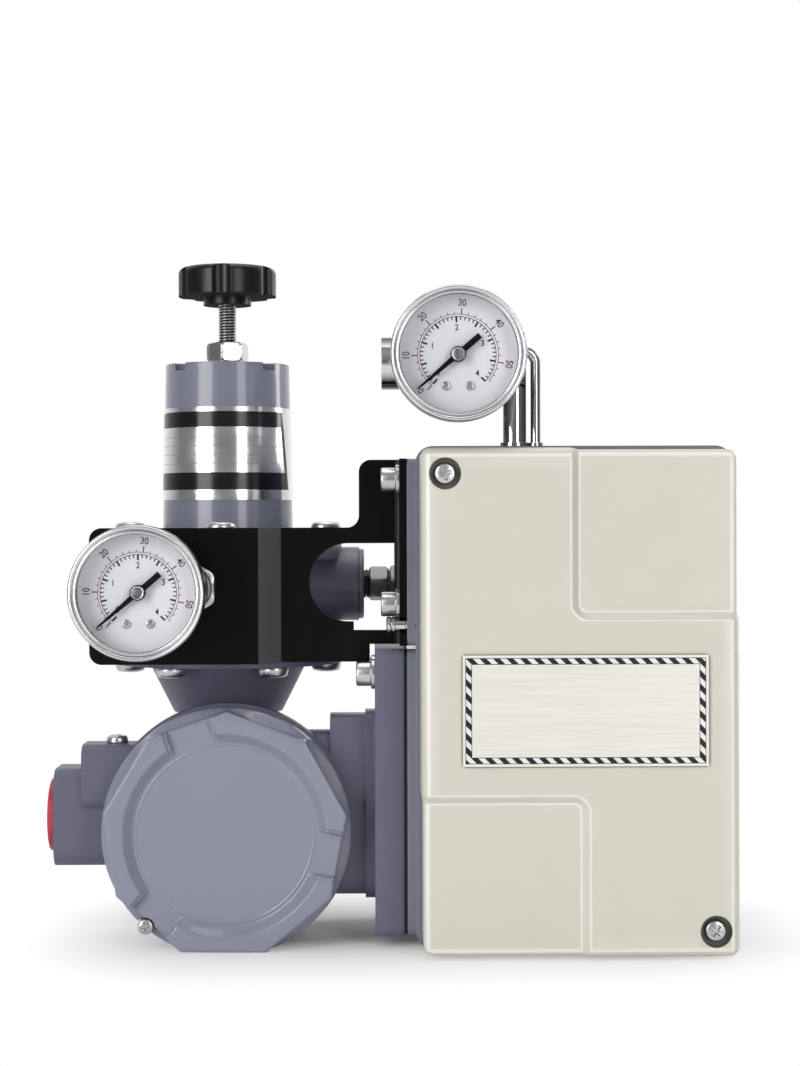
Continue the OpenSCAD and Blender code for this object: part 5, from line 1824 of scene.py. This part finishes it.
        # The stud's and the nipple's thread roots take the darker second finish: painted shade.
        settle(stud, Finish.ZINC, steel, Body.KNOB, "adjusting_stud", Finish.ROOT)
        settle(self.lock_nut(), Finish.BRIGHT_STEEL, steel, node="lock_nut")
        settle(self.nipple(), Finish.DARK_STEEL, steel, node="outlet_nipple", second=Finish.ROOT)
        settle(self.plug(), Finish.STEEL, steel, node="port_plug")


@dataclass
class CoilSpring:
    """A round-wire spring between the two bodies that it presses apart, wound as one fixed coil."""

    dresser: Dresser
    node: str
    wire_r: float
    turns: int
    lower: Body
    upper: Body
    end_pitch: float = 2.1
    steps: int = 24
    sides: int = 10

    def rise(self, turn: float, travel: float) -> float:
        """How far the wire's middle has climbed, wound close on the first and the last turn.

        Args:
            turn: turns from the lower end.
            travel: the climb from end to end in millimetres.
        Returns:
            The climb in millimetres.
        """
        close = self.end_pitch * self.wire_r
        pitch = (travel - 2 * close) / (self.turns - 2)
        ends = min(turn, 1.0) + max(turn - self.turns + 1, 0.0)
        return ends * close + min(max(turn - 1, 0.0), self.turns - 2) * pitch

    def wire(self, coil_r: float, travel: float) -> list[Ring]:
        """Rings along the wire, from its lower end upwards.

        Args:
            coil_r: radius of the coil at the wire's middle.
            travel: the climb from end to end.
        Returns:
            The rings, in millimetres.
        """
        rings = []
        for i in range(self.turns * self.steps + 1):
            way = FULL_TURN * i / self.steps
            middle = self.wire_r + self.rise(i / self.steps, travel)
            ring = []
            for j in range(self.sides):
                around = FULL_TURN * j / self.sides
                radius = coil_r + self.wire_r * math.sin(around)
                ring.append(polar(radius, way, middle + self.wire_r * math.cos(around)))
            rings.append(ring)
        return rings

    def build(self) -> None:
        """Wind the spring in its node's place, its middle turns spaced to fill the height between
        its close-wound ends.
        """
        low, high = (Vector(corner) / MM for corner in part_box(self.node))
        x, y = (low.x + high.x) / 2, (low.y + high.y) / 2
        coil_r = (high.x - low.x) / 2 - self.wire_r
        rings = self.wire(coil_r, high.z - low.z - 2 * self.wire_r)
        piece = Shapes.loft(f"{self.node}_wire", rings, facing((x, y, low.z), Way.UP))
        self.dresser.wardrobe.dress(piece, Finish.SPRING)
        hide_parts(self.node)
        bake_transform(piece)
        LOG.info("piece %s bends between %s and %s",
                 piece.name, self.lower.value, self.upper.value)


@dataclass(frozen=True)
class SoftBox:
    """One soft box: its place, width and height in metres and its power in watts."""

    name: str
    at: Point
    power: float
    wide: float
    tall: float


@dataclass
class Studio:
    """Camera, lamps, world and floor. The camera is in millimetres and the rest in metres."""

    BOXES: ClassVar[tuple[SoftBox, ...]] = (
        SoftBox("left_box", (-0.93, -1.01, 0.45), power=10.4, wide=0.62, tall=1.2),
        SoftBox("right_box", (0.49, -1.11, 0.4), power=4.6, wide=0.34, tall=1.2),
        SoftBox("rim_strip", (0.95, 0.42, 0.4), power=5.0, wide=0.22, tall=1.2),
        SoftBox("top_box", (-0.05, 0.1, 1.3), power=4.8, wide=0.9, tall=0.9),
    )
    WHITE: ClassVar[Colour] = (1, 1, 1, 1)

    eye: Point = (-81.3, -862.6, 172.4)
    right: Point = (0.999915, -0.012741, -0.002618)
    ahead: Point = (0.01273, 0.999912, -0.00384)
    focal_px: float = 2032.0
    image_h_px: int = 1066
    sensor: float = 36.0
    near_clip: float = 0.05
    lamp_target: Point = (-0.07, -0.02, 0.13)
    ambient: float = 0.2
    room: float = 0.14
    backdrop: Pair = (0.05, 0.9)
    ceiling: float = 0.3
    floor_half: float = 6.0
    floor_gloss: float = 0.35
    floor_tones: tuple[Point, Point] = ((246, 246, 246), (250, 250, 250))
    floor_grain: float = 30.0
    shadow_x: float = -0.06
    shadow_half: Pair = (0.08, 0.02)
    shadow_fade: float = 0.085
    shadow_glow: float = 0.05

    def camera(self) -> None:
        """Set the camera at the photograph's viewing angle."""
        data = bpy.data.cameras.new("portrait_camera")
        data.sensor_fit = "VERTICAL"
        data.sensor_height = self.sensor
        data.lens = self.sensor * self.focal_px / self.image_h_px
        data.clip_start = self.near_clip
        camera = put("portrait_camera", data)
        right, ahead = Vector(self.right), Vector(self.ahead)
        turn = Matrix((right, right.cross(ahead), -ahead)).transposed().to_4x4()
        camera.matrix_world = Matrix.Translation(Vector(self.eye) * MM) @ turn
        bpy.context.scene.camera = camera

    def lamp(self, box: SoftBox) -> None:
        """Hang a soft box that looks at the object's middle.

        Args:
            box: the soft box.
        """
        data = bpy.data.lights.new(box.name, "AREA")
        data.energy = box.power
        data.shape = "RECTANGLE"
        data.size = box.wide
        data.size_y = box.tall
        aim = Vector(self.lamp_target) - Vector(box.at)
        turn = aim.to_track_quat("-Z", "Y").to_matrix().to_4x4()
        put(box.name, data).matrix_world = Matrix.Translation(box.at) @ turn

    @staticmethod
    def rays(graph: Graph) -> tuple[Socket, Socket]:
        """Tell rays apart.

        Args:
            graph: the node tree that asks.
        Returns:
            Two sockets: 1 for rays from the camera or through glass, and 1 for rays off gloss.
        """
        path = graph.node("LightPath").outputs
        clear = graph.math("MAXIMUM", path["Is Camera Ray"], path["Is Transmission Ray"])
        return clear, path["Is Glossy Ray"]

    def world(self) -> None:
        """A white backdrop, a dimmer room behind the camera and an even fill."""
        world = bpy.data.worlds.new("studio_world")
        bpy.context.scene.world = world
        graph = Graph("studio_world", world)
        clear, glossy = self.rays(graph)
        way = graph.node("SeparateXYZ", {0: graph.node("TexCoord").outputs["Generated"]}).outputs
        behind = graph.ramp(way[1], *self.backdrop, self.room, 1.0)
        above = graph.ramp(way[2], 0.0, 1.0, 0.0, self.ceiling)
        mirror = graph.math("MINIMUM", graph.math("ADD", behind, above), 1.0)
        level = graph.ramp(glossy, 0.0, 1.0, self.ambient, mirror)
        level = graph.ramp(clear, 0.0, 1.0, level, 1.0)
        graph.finish(graph.node("Background", {"Color": self.WHITE, "Strength": level}))

    def floor_share(self, graph: Graph) -> Socket:
        """How far the floor has faded to white, for the rays that see it so.

        Args:
            graph: the floor's node tree.
        Returns:
            A socket from 0 to 1.
        """
        x, y, _ = graph.axes()
        squares = []
        for off, half in zip((graph.math("SUBTRACT", x, self.shadow_x), y), self.shadow_half):
            past = graph.math("SUBTRACT", graph.math("ABSOLUTE", off), half)
            squares.append(graph.math("POWER", graph.math("MAXIMUM", past, 0.0), 2.0))
        away = graph.math("SQRT", graph.math("ADD", *squares))
        fade = graph.ramp(away, 0.0, self.shadow_fade, self.shadow_glow, 1.0)
        clear, glossy = self.rays(graph)
        seen = graph.math("MAXIMUM", clear, graph.math("MULTIPLY", glossy, self.floor_gloss))
        return graph.math("MULTIPLY", fade, seen)

    def floor(self) -> None:
        """A pale floor that keeps the object's shadow and fades to white."""
        data = bpy.data.meshes.new("floor")
        half = self.floor_half
        corners = [(-half, -half, 0), (half, -half, 0), (half, half, 0), (-half, half, 0)]
        data.from_pydata(corners, [], [(0, 1, 2, 3)])
        floor = put("floor", data)
        graph = Graph("studio_floor")
        dark, pale = (srgb(*tone) for tone in self.floor_tones)
        tone = graph.mix(graph.noise(self.floor_grain, 2.0), dark, pale)
        paper = graph.node("BsdfDiffuse", {"Color": tone})
        glow = graph.node("Emission", {"Color": self.WHITE, "Strength": 1.0})
        share = self.floor_share(graph)
        mixed = graph.node("MixShader", {0: share, 1: paper.outputs[0], 2: glow.outputs[0]})
        data.materials.append(graph.finish(mixed))

    def build(self) -> None:
        """Set everything up."""
        bpy.context.scene.view_settings.view_transform = "Standard"
        self.camera()
        self.world()
        self.floor()
        for box in self.BOXES:
            self.lamp(box)


def dress_nodes(wardrobe: Wardrobe) -> None:
    """Give every CAD node its finish and smooth its curves.

    Args:
        wardrobe: where the materials come from.
    """
    for finish, names in NODE_FINISH.items():
        for name in names:
            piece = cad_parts[name]
            wardrobe.dress(piece, finish)
            Shapes.smooth(piece.data, NODE_SHARP)
            LOG.info("node %s wears %s", name, finish.name)


def main() -> None:
    """Build and dress the positioner, then set up the studio."""
    logging.basicConfig(level=logging.INFO, format="%(message)s")
    wardrobe = Wardrobe()
    dresser = Dresser(wardrobe)
    dress_nodes(wardrobe)
    FrontCover(dresser).build()
    JunctionCover(dresser).build()
    ScrewSets(dresser).build()
    Regulator(dresser).build()
    CoilSpring(dresser, "range_spring", wire_r=1.9, turns=6,
               lower=Body.CASE, upper=Body.SEAT).build()
    CoilSpring(dresser, "feedback_spring", wire_r=0.5, turns=12,
               lower=Body.FEEDBACK, upper=Body.CASE).build()
    gauges = [Gauge(dresser, "left_gauge", (-174.6, 146.0), Body.LEFT_POINTER),
              Gauge(dresser, "top_gauge", (-47.9, 239.9), Body.TOP_POINTER, zero=229.2)]
    bezels = Shapes.join("gauge_bezel_pair", [gauge.build() for gauge in gauges])
    dresser.settle(bezels, Finish.STAINLESS, Slot.GAUGE_STEEL, node="gauge_bezels")
    Studio().build()


if __name__ == "__main__":
    main()
